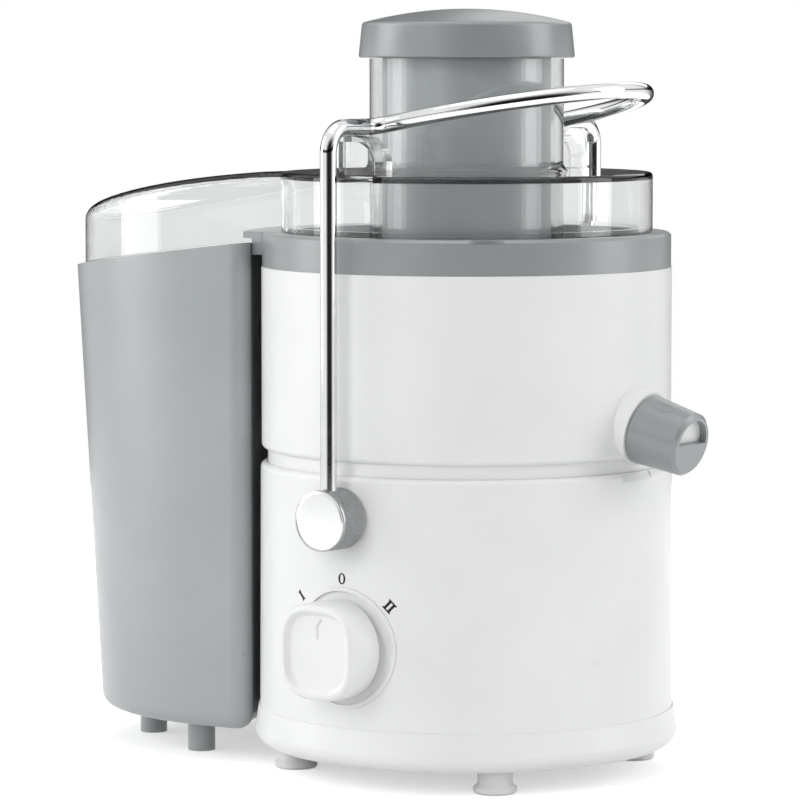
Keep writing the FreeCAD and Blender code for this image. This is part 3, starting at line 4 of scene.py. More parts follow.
import bpy
import numpy as np
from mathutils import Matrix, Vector

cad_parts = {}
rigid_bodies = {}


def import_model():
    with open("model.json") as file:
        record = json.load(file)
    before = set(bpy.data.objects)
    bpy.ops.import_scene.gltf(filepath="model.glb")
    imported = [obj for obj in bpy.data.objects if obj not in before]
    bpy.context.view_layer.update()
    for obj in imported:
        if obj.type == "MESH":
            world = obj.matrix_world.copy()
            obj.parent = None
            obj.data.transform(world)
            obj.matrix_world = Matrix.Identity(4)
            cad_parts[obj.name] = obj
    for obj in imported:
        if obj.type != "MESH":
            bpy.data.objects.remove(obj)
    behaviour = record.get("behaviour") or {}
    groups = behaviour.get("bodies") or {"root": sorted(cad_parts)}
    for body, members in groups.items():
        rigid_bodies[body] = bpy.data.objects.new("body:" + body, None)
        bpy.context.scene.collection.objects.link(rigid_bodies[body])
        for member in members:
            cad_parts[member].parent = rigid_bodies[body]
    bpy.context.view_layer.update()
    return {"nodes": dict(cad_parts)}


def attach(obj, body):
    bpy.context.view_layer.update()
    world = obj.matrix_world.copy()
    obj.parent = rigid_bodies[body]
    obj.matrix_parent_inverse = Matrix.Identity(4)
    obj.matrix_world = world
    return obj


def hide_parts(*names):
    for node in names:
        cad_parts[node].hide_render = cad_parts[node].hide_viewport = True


# Centrifugal juicer. Metres, +Z up, the spindle's axis at X = Y = 0 and the table at Z = 0.
# +X is the spout's side, -X the pulp container's and -Y the front with the knob.

for leftover in list(bpy.data.objects):
    bpy.data.objects.remove(leftover)

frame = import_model()
cadNodes = frame["nodes"]
mm = 0.001
print("frame loaded:", len(cadNodes), "nodes")


# Finishes: patterns in layers of tone, gloss and relief.

def startFinish(name, **ownSockets):
    # a Principled shader with constants on its own sockets, and Object coordinates for its patterns
    finish = bpy.data.materials.new(name)
    finish.use_nodes = True
    tree = finish.node_tree
    shader = tree.nodes["Principled BSDF"]
    for socketName, value in ownSockets.items():
        socket = shader.inputs[socketName.replace("_", " ")]
        socket.default_value = (*value, 1) if isinstance(value, tuple) and len(value) == 3 else value
    coords = tree.nodes.new("ShaderNodeTexCoord").outputs["Object"]
    return finish, tree, shader, coords


def spanned(tree, value, fromSpan, toSpan, easing="LINEAR"):
    # a value carried from one span to another, and held at both ends
    span = tree.nodes.new("ShaderNodeMapRange")
    span.interpolation_type = easing
    for socketName, number in zip(("From Min", "From Max", "To Min", "To Max"), (*fromSpan, *toSpan)):
        span.inputs[socketName].default_value = number
    tree.links.new(value, span.inputs["Value"])
    return span.outputs["Result"]


def combined(tree, operation, first, second, clamped=False):
    # second is a socket or a plain number
    step = tree.nodes.new("ShaderNodeMath")
    step.operation = operation
    step.use_clamp = clamped
    tree.links.new(first, step.inputs[0])
    if isinstance(second, (int, float)):
        step.inputs[1].default_value = second
    else:
        tree.links.new(second, step.inputs[1])
    return step.outputs["Value"]


def vectorStep(tree, operation, vector, other=(0, 0, 0)):
    step = tree.nodes.new("ShaderNodeVectorMath")
    step.operation = operation
    step.inputs[1].default_value = other
    tree.links.new(vector, step.inputs[0])
    return step.outputs["Value" if operation in ("DOT_PRODUCT", "LENGTH") else "Vector"]


def stretched(tree, coords, stretch):
    mapping = tree.nodes.new("ShaderNodeMapping")
    mapping.inputs["Scale"].default_value = stretch
    tree.links.new(coords, mapping.inputs["Vector"])
    return mapping.outputs["Vector"]


def speckle(tree, coords, scale, detail=2.0, roughness=0.5):
    noise = tree.nodes.new("ShaderNodeTexNoise")
    noise.inputs["Scale"].default_value = scale
    noise.inputs["Detail"].default_value = detail
    noise.inputs["Roughness"].default_value = roughness
    tree.links.new(coords, noise.inputs["Vector"])
    return noise.outputs["Fac"]


def rings(tree, coords, scale, axis="Z", kind="BANDS", distortion=0.0):
    wave = tree.nodes.new("ShaderNodeTexWave")
    wave.wave_type = kind
    if kind == "BANDS":
        wave.bands_direction = axis
    else:
        wave.rings_direction = axis
    wave.inputs["Scale"].default_value = scale
    wave.inputs["Distortion"].default_value = distortion
    tree.links.new(coords, wave.inputs["Vector"])
    return wave.outputs["Fac"]


def tint(tree, shader, factor, dark, light, spread=(0.3, 0.7)):
    ramp = tree.nodes.new("ShaderNodeValToRGB")
    for stop, place, colour in zip(ramp.color_ramp.elements, spread, (dark, light)):
        stop.position = place
        stop.color = (*colour, 1)
    tree.links.new(factor, ramp.inputs["Fac"])
    tree.links.new(ramp.outputs["Color"], shader.inputs["Base Color"])


def roughen(tree, shader, factor, low, high):
    # noise stays mostly between a quarter and three quarters, so that span fills the range
    tree.links.new(spanned(tree, factor, (0.25, 0.75), (low, high)), shader.inputs["Roughness"])


def emboss(tree, shader, *layers):
    # each layer is (height, depth in metres, strength), and each next one adds to those before it
    normal = None
    for height, depth, strength in layers:
        bump = tree.nodes.new("ShaderNodeBump")
        bump.inputs["Distance"].default_value = depth
        bump.inputs["Strength"].default_value = strength
        tree.links.new(height, bump.inputs["Height"])
        if normal is not None:
            tree.links.new(normal, bump.inputs["Normal"])
        normal = bump.outputs["Normal"]
    tree.links.new(normal, shader.inputs["Normal"])


def mouldedPlastic(name, dark, light, roughness, grain, grainDepth, **ownSockets):
    # cloudy tone, a fine moulded grain and slightly uneven gloss
    finish, tree, shader, coords = startFinish(name, IOR=1.49, **ownSockets)
    tint(tree, shader, speckle(tree, coords, scale=28, detail=4), dark, light)
    roughen(tree, shader, speckle(tree, coords, scale=60), *roughness)
    emboss(tree, shader,
           (speckle(tree, coords, scale=grain), grainDepth, 0.5),
           (speckle(tree, coords, scale=40, detail=0), 0.00008, 0.08))
    return finish


def turnedMetal(name, dark, light, roughness, stretch, scratchDepth, **ownSockets):
    # drawn or turned metal: streaks run across the direction that is stretched most
    finish, tree, shader, coords = startFinish(name, Metallic=1.0, **ownSockets)
    streaks = speckle(tree, stretched(tree, coords, stretch), scale=60, detail=5, roughness=0.65)
    tint(tree, shader, streaks, dark, light)
    roughen(tree, shader, streaks, *roughness)
    emboss(tree, shader, (streaks, scratchDepth, 0.5))
    return finish


def chromePlate():
    # mirror-bright plate: faint long ripples and a soft haze here and there
    finish, tree, shader, coords = startFinish("chromePlate", Metallic=1.0)
    haze = speckle(tree, coords, scale=90, detail=5, roughness=0.6)
    tint(tree, shader, haze, (0.74, 0.75, 0.76), (0.83, 0.835, 0.84))
    roughen(tree, shader, haze, 0.025, 0.075)
    emboss(tree, shader, (speckle(tree, coords, scale=160, detail=1), 0.00002, 0.15))
    return finish


def clearPlastic():
    # clear moulded plastic: its thickness tints it, and its skin has slow ripples and fine rub marks
    finish, tree, shader, coords = startFinish(
        "clearPlastic", Base_Color=(0.99, 0.995, 0.995), Transmission_Weight=1.0, IOR=1.25,
        Coat_Weight=0.5, Coat_Roughness=0.03)
    roughen(tree, shader, speckle(tree, coords, scale=240, detail=5, roughness=0.7), 0.0, 0.035)
    emboss(tree, shader, (speckle(tree, coords, scale=45, detail=1), 0.00012, 0.15))
    absorb = tree.nodes.new("ShaderNodeVolumeAbsorption")
    absorb.inputs["Color"].default_value = (0.36, 0.38, 0.38, 1)
    absorb.inputs["Density"].default_value = 66
    tree.links.new(absorb.outputs["Volume"], tree.nodes["Material Output"].inputs["Volume"])
    return finish


def windings():
    # enamelled copper wire, one ridge for each turn
    finish, tree, shader, coords = startFinish(
        "windings", Metallic=0.9, Coat_Weight=0.5, Coat_Roughness=0.2)
    wires = rings(tree, coords, scale=420, distortion=0.6)
    tint(tree, shader, wires, (0.20, 0.055, 0.02), (0.62, 0.24, 0.09), (0.2, 0.8))
    roughen(tree, shader, speckle(tree, coords, scale=300), 0.25, 0.4)
    emboss(tree, shader, (wires, 0.0003, 0.8))
    return finish


def laminations():
    # stacked steel sheets, about one to the millimetre
    finish, tree, shader, coords = startFinish("laminations", Metallic=0.85)
    sheets = rings(tree, coords, scale=320)
    tint(tree, shader, sheets, (0.10, 0.10, 0.105), (0.36, 0.36, 0.37), (0.1, 0.6))
    roughen(tree, shader, speckle(tree, coords, scale=200, detail=4), 0.35, 0.6)
    emboss(tree, shader, (sheets, 0.0001, 0.7))
    return finish


satin = {
    "axis": (0, 0, 0.0989),
    "marksScale": 900,
    "shadeStarts": 0.01045,
    "shadeFull": 0.01065,
    "faceTone": (0.72, 0.725, 0.73),
    # painted shade: a darker tone for the knurled side, standing in for the dark it reflects
    "paintedShadeTone": (0.37, 0.38, 0.385),
}


def satinPlate():
    # plated caps: fine concentric marks about the bail's axis, and painted shade on the knurled side, a
    # darker tone that stands in for the dark it reflects;
    # the painted shade starts at a given distance from that axis
    finish, tree, shader, coords = startFinish("satinPlate", Metallic=1.0)
    centred = vectorStep(tree, "SUBTRACT", coords, satin["axis"])
    marksRound = rings(tree, centred, satin["marksScale"], "Y", "RINGS", distortion=0.4)
    fromAxis = vectorStep(tree, "LENGTH", vectorStep(tree, "MULTIPLY", centred, (1, 0, 1)))
    paintedShade = spanned(tree, fromAxis, (satin["shadeStarts"], satin["shadeFull"]), (0, 1))
    # painted shade: the knurled side gets the darker tone, standing in for reflected dark
    tint(tree, shader, paintedShade, satin["faceTone"], satin["paintedShadeTone"], (0.0, 1.0))
    roughen(tree, shader, marksRound, 0.20, 0.28)
    emboss(tree, shader, (marksRound, 0.00001, 0.2))
    return finish


finishes = {
    "satin": satinPlate(),
    "white_plastic": mouldedPlastic(
        "whiteShell", dark=(0.80, 0.805, 0.81), light=(0.835, 0.84, 0.845), roughness=(0.27, 0.37),
        grain=900, grainDepth=0.00002, Specular_IOR_Level=0.3),
    "grey_plastic": mouldedPlastic(
        "greyPlastic", dark=(0.245, 0.264, 0.269), light=(0.270, 0.290, 0.295), roughness=(0.29, 0.35),
        grain=2600, grainDepth=0.00003, Specular_IOR_Level=1.0),
    # painted light: a lighter copy of the grey plastic, standing in for the extra light the container
    # catches
    "container": mouldedPlastic(
        "containerPlasticPaintedLight", dark=(0.310, 0.333, 0.338), light=(0.340, 0.364, 0.370), roughness=(0.27, 0.33),
        grain=2600, grainDepth=0.00003, Specular_IOR_Level=1.0),
    "black_plastic": mouldedPlastic(
        "blackPlastic", dark=(0.018, 0.018, 0.02), light=(0.035, 0.035, 0.037), roughness=(0.35, 0.5),
        grain=2200, grainDepth=0.00004),
    "rubber_white": mouldedPlastic(
        "softFeet", dark=(0.70, 0.70, 0.695), light=(0.78, 0.78, 0.775), roughness=(0.55, 0.75),
        grain=1600, grainDepth=0.00006),
    "rubber_black": mouldedPlastic(
        "blackRubber", dark=(0.02, 0.02, 0.02), light=(0.04, 0.04, 0.04), roughness=(0.6, 0.8),
        grain=1600, grainDepth=0.00006),
    "carbon": mouldedPlastic(
        "brushCarbon", dark=(0.02, 0.02, 0.022), light=(0.06, 0.06, 0.06), roughness=(0.45, 0.7),
        grain=3000, grainDepth=0.00005),
    "clear_plastic": clearPlastic(),
    "chrome": chromePlate(),
    "stainless": turnedMetal(
        "stainless", dark=(0.50, 0.505, 0.51), light=(0.68, 0.685, 0.69), roughness=(0.18, 0.34),
        stretch=(1, 1, 14), scratchDepth=0.00003),
    "zinc_steel": turnedMetal(
        "zincSteel", dark=(0.42, 0.43, 0.44), light=(0.60, 0.60, 0.61), roughness=(0.3, 0.5),
        stretch=(4, 4, 1), scratchDepth=0.00003),
    "brass": turnedMetal(
        "brass", dark=(0.55, 0.38, 0.14), light=(0.74, 0.56, 0.26), roughness=(0.25, 0.4),
        stretch=(3, 3, 12), scratchDepth=0.00003),
    "copper": windings(),
    "motor_steel": laminations(),
}


for node in cadNodes.values():
    given = node.material_slots[0]
    given.material = finishes[given.material.name.split(".")[0]]
# painted light: the container gets the lighter copy of the grey plastic
cadNodes["pulp_container"].material_slots[0].material = finishes["container"]
cadNodes["lid"].visible_shadow = False  # lamps reach what stands inside the clear lid
print("finishes made:", len(finishes))


# Surfaces: rows of points in millimetres, with faces that turn outwards.

def makePiece(name, points, quads, fans, bodyName, slotName, replaced=(), sharpAbove=40, finish=None):
    # points is an array of rows of x, y, z in millimetres; quads and fans hold row numbers;
    # the slot's own finish is used unless another is given
    mesh = bpy.data.meshes.new(name)
    mesh.from_pydata((points * mm).tolist(), [], quads.tolist() + fans.tolist())
    mesh.update()
    mesh.shade_smooth()
    mesh.set_sharp_from_angle(angle=math.radians(sharpAbove))
    piece = bpy.data.objects.new(name, mesh)
    bpy.context.scene.collection.objects.link(piece)
    mesh.materials.append(finish or finishes[slotName])
    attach(piece, bodyName)
    if replaced:
        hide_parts(*replaced)


def gridFaces(ringCount, sideCount, joined=False):
    # quads between neighbouring closed rings; joined also ties the last ring to the first
    ringNo = np.arange(ringCount if joined else ringCount - 1)[:, None]
    sideNo = np.arange(sideCount)[None, :]
    nextRing = (ringNo + 1) % ringCount
    nextSide = (sideNo + 1) % sideCount
    return np.stack([ringNo * sideCount + sideNo, ringNo * sideCount + nextSide,
                     nextRing * sideCount + nextSide, nextRing * sideCount + sideNo], -1).reshape(-1, 4)


def poleFaces(ringCount, sideCount):
    # fans that shut the first and the last ring; their poles are the two rows after all the rings
    side = np.arange(sideCount)
    nextSide = (side + 1) % sideCount
    lastRing = (ringCount - 1) * sideCount
    pole = np.full(sideCount, ringCount * sideCount)
    return np.vstack([np.stack([nextSide, side, pole], -1),
                      np.stack([pole + 1, lastRing + side, lastRing + nextSide], -1)])


def carried(centres, sides, ups, outline, joined=False):
    # an outline of (a, b) pairs carried along a path: point = centre + a * side + b * up; its ends are
    # shut by fans unless the path joins up with itself
    outline = np.broadcast_to(outline, (len(centres), *outline.shape[-2:]))
    rows = centres[:, None] + outline[..., :1] * sides[:, None] + outline[..., 1:] * ups[:, None]
    ringCount, sideCount = rows.shape[:2]
    quads = gridFaces(ringCount, sideCount, joined)
    points = rows.reshape(-1, 3)
    if joined:
        return points, quads, np.zeros((0, 3), int)
    return np.vstack([points, centres[:1], centres[-1:]]), quads, poleFaces(ringCount, sideCount)


def arcAt(centre, radius, fromDeg, toDeg, count, first, second):
    # point = centre + radius * (cos a * first + sin a * second)
    angle = np.radians(np.linspace(fromDeg, toDeg, count))[:, None]
    return np.asarray(centre, float) + radius * (np.cos(angle) * first + np.sin(angle) * second)


def slideAlong(path):
    # side and up at each point of a path, turned no more than the path turns them
    ahead = np.gradient(path, axis=0)
    ahead /= np.linalg.norm(ahead, axis=1)[:, None]
    side = np.cross(ahead[0], (0.0, 0.0, 1.0))
    if np.linalg.norm(side) < 0.1:  # a path that sets off straight up
        side = np.array((1.0, 0.0, 0.0))
    sides = []
    for direction in ahead:
        side = side - direction * side.dot(direction)
        side = side / np.linalg.norm(side)
        sides.append(side)
    sides = np.array(sides)
    return sides, np.cross(ahead, sides)


# The bail's rod and its two pivot caps.

bail = {
    "rodRadius": 3.0,
    "legPlace": 84.2,
    "footLevel": 103.4,
    "topLevel": 238.2,
    "cornerRadius": 9.0,
    "kinkRadius": 7.0,
    "loopHalf": 56.0,
    "loopReach": 71.0,
    "noseRadius": 46.0,
    "slopeDeg": 10.6,
    "sides": 32,
    "steps": {"leg": 40, "corner": 18, "shoulder": 6, "kink": 16, "side": 40, "nose": 24},
}


def bailPath():
    # legs and corners in the plane X = 0, then the loop's arcs in a plane that rises by the slope; the
    # side arc starts where the kink ends, meets the nose arc and is centred on the loop's widest row:
    # R = ((back - kink)^2 + half^2 - nose^2) / (2 * (half - nose))
    up = np.array((0.0, 0.0, 1.0))
    across = np.array((0.0, 1.0, 0.0))
    slope = math.radians(bail["slopeDeg"])
    out = np.array((math.cos(slope), 0, math.sin(slope)))
    top = up * bail["topLevel"]
    leg, half = bail["legPlace"], bail["loopHalf"]
    kink, corner, nose = bail["kinkRadius"], bail["cornerRadius"], bail["noseRadius"]
    noseBack = bail["loopReach"] - nose
    steps = bail["steps"]
    sideRadius = ((noseBack - kink) ** 2 + half ** 2 - nose ** 2) / (2 * (half - nose))
    joinDeg = math.degrees(math.asin((sideRadius - half) / (sideRadius - nose)))
    legCorner = top - across * (leg - corner) - up * corner
    kinkCentre = top - across * (half + kink) + out * kink
    sideCentre = top + out * kink + across * (sideRadius - half)
    legFoot = up * bail["footLevel"] - across * leg
    legTop = top - across * leg - up * corner
    front = np.vstack([
        np.linspace(legFoot, legTop, steps["leg"])[:-1],
        arcAt(legCorner, corner, 180, 90, steps["corner"], across, up)[:-1],
        np.linspace(top - across * (leg - corner), top - across * (half + kink), steps["shoulder"])[:-1],
        arcAt(kinkCentre, kink, 180, 90, steps["kink"], out, across)[:-1],
        arcAt(sideCentre, sideRadius, -90, -joinDeg, steps["side"], out, across)[:-1],
        arcAt(top + out * noseBack, nose, -joinDeg, 0, steps["nose"], out, across),
    ])
    return np.vstack([front, front[-2::-1] * (1, -1, 1)])


def makeBail():
    path = bailPath()
    sides, ups = slideAlong(path)
    angle = np.linspace(0, 2 * np.pi, bail["sides"], endpoint=False)
    outline = bail["rodRadius"] * np.stack([np.cos(angle), np.sin(angle)], -1)
    points, quads, fans = carried(path, sides, ups, outline)
    makePiece("bailRod", points, quads, fans, "bail", "chrome", ["bail_rod"], sharpAbove=60)


pivots = {
    "level": 98.9,
    "back": 77.1,
    "depth": 13.0,
    "radius": 11.0,
    "backBevel": (0.4, 0.6),
    "knurlStarts": 0.8,
    "knurlEnds": 2.2,
    "knurlFade": 0.4,
    "ridges": 90,
    "ridgeDepth": 0.22,
    "sidesPerRidge": 6,
    "bevel": 0.5,
    "bevelBulge": 0.3,
    "grooveAt": 10.1,
    "grooveWidth": 0.18,
    "grooveDepth": 0.22,
    "crown": 0.15,
    "faceRings": 60,
}


def makePivotCaps():
    # radius = R - d * (1 - cos(n * angle)) / 2 along the knurled side; the face is a shallow crown
    # with a ring-shaped groove: depth = crown * (1 - (r / R)^2) - g * exp(-((r - at) / width)^2)
    full, bevel = pivots["radius"], pivots["bevel"]
    reach = pivots["depth"] - pivots["crown"]
    backDepth, backInset = pivots["backBevel"]
    knurlEnd = reach - pivots["knurlEnds"]
    bulge = bevel * pivots["bevelBulge"]
    side = np.array([[0.0, full - backInset], [backDepth, full], [pivots["knurlStarts"], full],
                     [knurlEnd, full], [knurlEnd + pivots["knurlFade"], full], [reach - bevel, full],
                     [reach - bulge, full - bulge], [reach, full - bevel]])
    knurled = np.array([0, 0, 1, 1, 0, 0, 0, 0])
    faceRadius = np.linspace(full - bevel, 0, pivots["faceRings"])[1:-1]
    groove = np.exp(-((faceRadius - pivots["grooveAt"]) / pivots["grooveWidth"]) ** 2)
    crown = pivots["crown"] * (1 - (faceRadius / full) ** 2)
    face = np.stack([reach + crown - pivots["grooveDepth"] * groove, faceRadius], -1)
    profile = np.vstack([side, face])
    ridge = np.concatenate([knurled, np.zeros(len(face))])[:, None] * pivots["ridgeDepth"] / 2
    angle = np.linspace(0, 2 * np.pi, pivots["ridges"] * pivots["sidesPerRidge"], endpoint=False)
    radius = profile[:, 1:] - ridge * (1 - np.cos(pivots["ridges"] * angle))
    for endName, out in (("front", -1), ("rear", 1)):
        y = out * (pivots["back"] + profile[:, :1]) * np.ones_like(angle)
        rows = np.stack([radius * np.cos(angle), y, radius * np.sin(angle) + pivots["level"]], -1)
        poles = [[0, out * (pivots["back"] + depth), pivots["level"]] for depth in (0, pivots["depth"])]
        quads, fans = gridFaces(*radius.shape), poleFaces(*radius.shape)
        if out > 0:
            quads, fans = quads[:, ::-1], fans[:, ::-1]
        makePiece("pivotCap" + endName.capitalize(), np.vstack([rows.reshape(-1, 3), poles]), quads, fans,
                  "bail", "chrome", ["pivot_cap_" + endName], sharpAbove=30, finish=finishes["satin"])


makeBail()
makePivotCaps()
print("bail made")


# The speed knob, its marks and the pusher's cap.

knob = {
    "level": 52.0,
    "back": -77.6,
    "depth": 15.0,
    "baseRadius": 18.0,
    "footBevel": 0.7,
    "halfWidth": 16.6,
    "halfHeight": 17.3,
    "squareness": 2.9,
    "loftStarts": 2.5,
    "loftEnds": 12.0,
    "rimRadius": 2.2,
    "rimWidth": 4.6,
    "dish": 1.7,
    "pointerTop": 11.4,
    "pointerFoot": 5.2,
    "pointerWidth": 0.55,
    "pointerFlat": 0.35,
    "pointerFade": 0.9,
    "pointerDepth": 0.9,
    "hookFrom": 8.9,
    "hookRun": 3.5,
    "hookLean": 1.9,
    "wallRings": 30,
    "rimRings": 8,
    "dishRings": 14,
    "floorRings": 60,
    "sides": 288,
}


def smooth(value):
    # 3 v^2 - 2 v^3 between 0 and 1
    value = np.clip(value, 0, 1)
    return value * value * (3 - 2 * value)


def makeKnob():
    # radius = (|cos a / w|^n + |sin a / h|^n)^(-1/n) less an inset; w, h and n slide from the round base
    # to the squarish face, and the face is sunk by a dish and by a groove for the hooked pointer
    rim, depth, bevel = knob["rimRadius"], knob["depth"], knob["footBevel"]
    wall, floorCount = knob["wallRings"], knob["floorRings"]
    turn = np.radians(np.linspace(0, 90, knob["rimRings"] + 1))[1:]
    inner = np.linspace(0, 1, knob["dishRings"] + 1)[1:]
    level = np.concatenate([[0, bevel / 2], np.linspace(bevel, depth - rim, wall),
                            depth - rim + rim * np.sin(turn), depth - knob["dish"] * smooth(inner),
                            np.full(floorCount, depth - knob["dish"])])
    inset = np.concatenate([[bevel, bevel / 2], np.zeros(wall), rim * (1 - np.cos(turn)),
                            rim + (knob["rimWidth"] - rim) * inner, np.full(floorCount, knob["rimWidth"])])
    share = np.concatenate([np.ones(len(level) - floorCount), np.linspace(1, 0, floorCount + 2)[1:-1]])
    blend = smooth((level - knob["loftStarts"]) / (knob["loftEnds"] - knob["loftStarts"]))[:, None]
    blend[-floorCount - knob["dishRings"]:] = 1
    angle = np.linspace(0, 2 * np.pi, knob["sides"], endpoint=False)
    wide = knob["baseRadius"] + (knob["halfWidth"] - knob["baseRadius"]) * blend
    high = knob["baseRadius"] + (knob["halfHeight"] - knob["baseRadius"]) * blend
    power = 2 + (knob["squareness"] - 2) * blend
    radius = (np.abs(np.cos(angle) / wide) ** power + np.abs(np.sin(angle) / high) ** power) ** (-1 / power)
    radius = (radius - inset[:, None]) * share[:, None]
    x, z = radius * np.cos(angle), radius * np.sin(angle)
    alongPointer = z - np.clip(z, knob["pointerFoot"], knob["pointerTop"])
    lean = knob["hookLean"] * smooth((z - knob["hookFrom"]) / knob["hookRun"])
    offPointer = np.hypot(x - lean, alongPointer) / knob["pointerWidth"]
    groove = 1 - smooth((offPointer - knob["pointerFlat"]) / knob["pointerFade"])
    sunk = np.where((share < 1)[:, None], knob["pointerDepth"] * groove, 0)
    y = knob["back"] - (level[:, None] - sunk)
    points = np.stack([x, y, z + knob["level"]], -1).reshape(-1, 3)
    poles = [[0, knob["back"] - out, knob["level"]] for out in (0, depth - knob["dish"])]
    makePiece("speedKnob", np.vstack([points, poles]), gridFaces(*x.shape), poleFaces(*x.shape), "knob",
              "white_plastic", ["speed_knob"], sharpAbove=50)


marks = {
    "thickness": 0.06,
    "sink": 0.02,
    "ink": (0.016, 0.016, 0.018),
    "wornInk": (0.03, 0.03, 0.032),
    "housingRadius": 76.8,
    "housingFoot": 23.0,
    "draftPerMm": 0.4 / 90.7,
    "noughtSides": 64,
    "strokeSteps": 9,
    "nought": {"place": (0.0, 25.0), "half": (1.15, 1.85), "line": 0.42, "swell": 0.36},
    "one": {"place": (-20.2, 17.2), "turnDeg": 45, "strokes": [
        ((0, -1.9), (0, 1.9), 0.95), ((-0.8, 1.8), (0.8, 1.8), 0.45), ((-0.8, -1.8), (0.8, -1.8), 0.45)]},
    "two": {"place": (19.4, 16.2), "turnDeg": -45, "strokes": [
        ((-0.95, -1.8), (-0.95, 1.8), 0.95), ((0.95, -1.8), (0.95, 1.8), 0.95),
        ((-1.9, 1.75), (1.9, 1.75), 0.55), ((-1.9, -1.75), (1.9, -1.75), 0.55)]},
}


def inkFinish():
    # printed ink: nearly black, with a slightly broken gloss
    finish, tree, shader, coords = startFinish("markInk", Specular_IOR_Level=0.15)
    tint(tree, shader, speckle(tree, coords, scale=2200, detail=3), marks["ink"], marks["wornInk"])
    roughen(tree, shader, speckle(tree, coords, scale=900, detail=3), 0.55, 0.75)
    return finish


def ontoHousing(flat):
    # wraps (x, z) about the knob's axis onto the housing's front, with the outward normal at each point
    z = flat[:, 1] + knob["level"]
    radius = marks["housingRadius"] - marks["draftPerMm"] * (z - marks["housingFoot"])
    y = -np.sqrt(radius ** 2 - flat[:, 0] ** 2)
    normal = np.stack([flat[:, 0] / radius, y / radius, np.zeros(len(z))], -1)
    return np.stack([flat[:, 0], y, z], -1), normal


def stroke(flat, width, wrap, joined=False):
    # a ribbon with square edges: its cross-section stands on the surface and follows the line
    centres, normals = wrap(flat)
    if joined:
        ahead = np.roll(centres, -1, 0) - np.roll(centres, 1, 0)
    else:
        ahead = np.gradient(centres, axis=0)
    sides = np.cross(normals, ahead)
    sides /= np.linalg.norm(sides, axis=1)[:, None]
    half = np.broadcast_to(np.asarray(width, float) / 2, (len(flat),))[:, None]
    foot, top = -marks["sink"], marks["thickness"]
    outline = np.stack([np.concatenate([-half, half, half, -half], 1),
                        np.broadcast_to(np.array([foot, foot, top, top]), (len(flat), 4))], -1)
    return carried(centres, sides, normals, outline, joined)


def joinShells(shells):
    # several closed shells as one piece: rows are stacked and face numbers moved on
    points, quads, fans, offset = [], [], [], 0
    for shellPoints, shellQuads, shellFans in shells:
        points.append(shellPoints)
        quads.append(shellQuads + offset)
        fans.append(shellFans + offset)
        offset += len(shellPoints)
    return np.vstack(points), np.vstack(quads), np.vstack(fans)


def turnedBy(flat, turnDeg, place):
    # turned about its own middle, then moved to its place
    turn = math.radians(turnDeg)
    spin = np.array(((math.cos(turn), math.sin(turn)), (-math.sin(turn), math.cos(turn))))
    return flat @ spin + place


def makeDialMarks():
    nought = marks["nought"]
    angle = np.linspace(0, 2 * np.pi, marks["noughtSides"], endpoint=False)
    ring = nought["place"] + np.array(nought["half"]) * np.stack([np.cos(angle), np.sin(angle)], -1)
    width = nought["line"] + nought["swell"] * np.cos(angle) ** 2
    signs = {"markNought": [stroke(ring, width, ontoHousing, joined=True)]}
    for markName in ("one", "two"):
        facts = marks[markName]
        signs["mark" + markName.capitalize()] = shells = []
        for start, stop, width in facts["strokes"]:
            line = np.linspace(start, stop, marks["strokeSteps"])
            line = turnedBy(line, facts["turnDeg"], facts["place"])
            shells.append(stroke(line, width, ontoHousing))
    for signName, shells in signs.items():
        makePiece(signName, *joinShells(shells), "housing", "black_plastic", sharpAbove=30,
                  finish=inkFinish())


pusherCap = {
    "footLevel": 262.8,
    "shoulderLevel": 276.0,
    "apexLevel": 280.8,
    "footRadius": 39.9,
    "shoulderRadius": 38.8,
    "footRound": 0.9,
    "shoulderRound": 1.6,
    "shoulderTurnDeg": 76,
    "skirtWall": 2.6,
    "skirtBevel": 0.4,
    "plugLevel": 264.9,
    "footSteps": 8,
    "shoulderSteps": 10,
    "domeSteps": 40,
    "sides": 256,
}


def makePusherCap():
    # turned about the spindle: the side falls from shoulder to foot with both edges rounded; the dome's
    # level over the shoulder is rise * (1 - (r / R)^2)
    foot, shoulder, sides = pusherCap["footRadius"], pusherCap["shoulderRadius"], pusherCap["sides"]
    low, high, bevel = pusherCap["footRound"], pusherCap["shoulderRound"], pusherCap["skirtBevel"]
    bottom, plug = pusherCap["footLevel"], pusherCap["plugLevel"]
    inside = foot - pusherCap["skirtWall"]
    under = np.array([[inside / 2, plug], [inside, plug], [inside, bottom + bevel],
                      [inside + bevel, bottom]])
    quarter = np.radians(np.linspace(-90, 0, pusherCap["footSteps"]))
    footArc = np.stack([foot - low + low * np.cos(quarter), bottom + low + low * np.sin(quarter)], -1)
    topTurn = np.radians(np.linspace(0, pusherCap["shoulderTurnDeg"], pusherCap["shoulderSteps"]))
    topArc = np.stack([shoulder - high + high * np.cos(topTurn),
                       pusherCap["shoulderLevel"] - high + high * np.sin(topTurn)], -1)
    edgeRadius, edgeLevel = topArc[-1]
    domeRadius = np.linspace(edgeRadius, 0, pusherCap["domeSteps"])[1:-1]
    rise = pusherCap["apexLevel"] - edgeLevel
    dome = np.stack([domeRadius, edgeLevel + rise * (1 - (domeRadius / edgeRadius) ** 2)], -1)
    profile = np.vstack([under, footArc, topArc, dome])
    angle = np.linspace(0, 2 * np.pi, sides, endpoint=False)
    rows = np.stack([profile[:, :1] * np.cos(angle), profile[:, :1] * np.sin(angle),
                     np.broadcast_to(profile[:, 1:], (len(profile), sides))], -1)
    poles = [[0, 0, plug], [0, 0, pusherCap["apexLevel"]]]
    makePiece("pusherCap", np.vstack([rows.reshape(-1, 3), poles]), gridFaces(len(profile), sides),
              poleFaces(len(profile), sides), "pusher", "grey_plastic", ["pusher_cap"], sharpAbove=35)


makeKnob()
makePusherCap()
makeDialMarks()
print("knob and marks made")


# The sign on the drip stop.

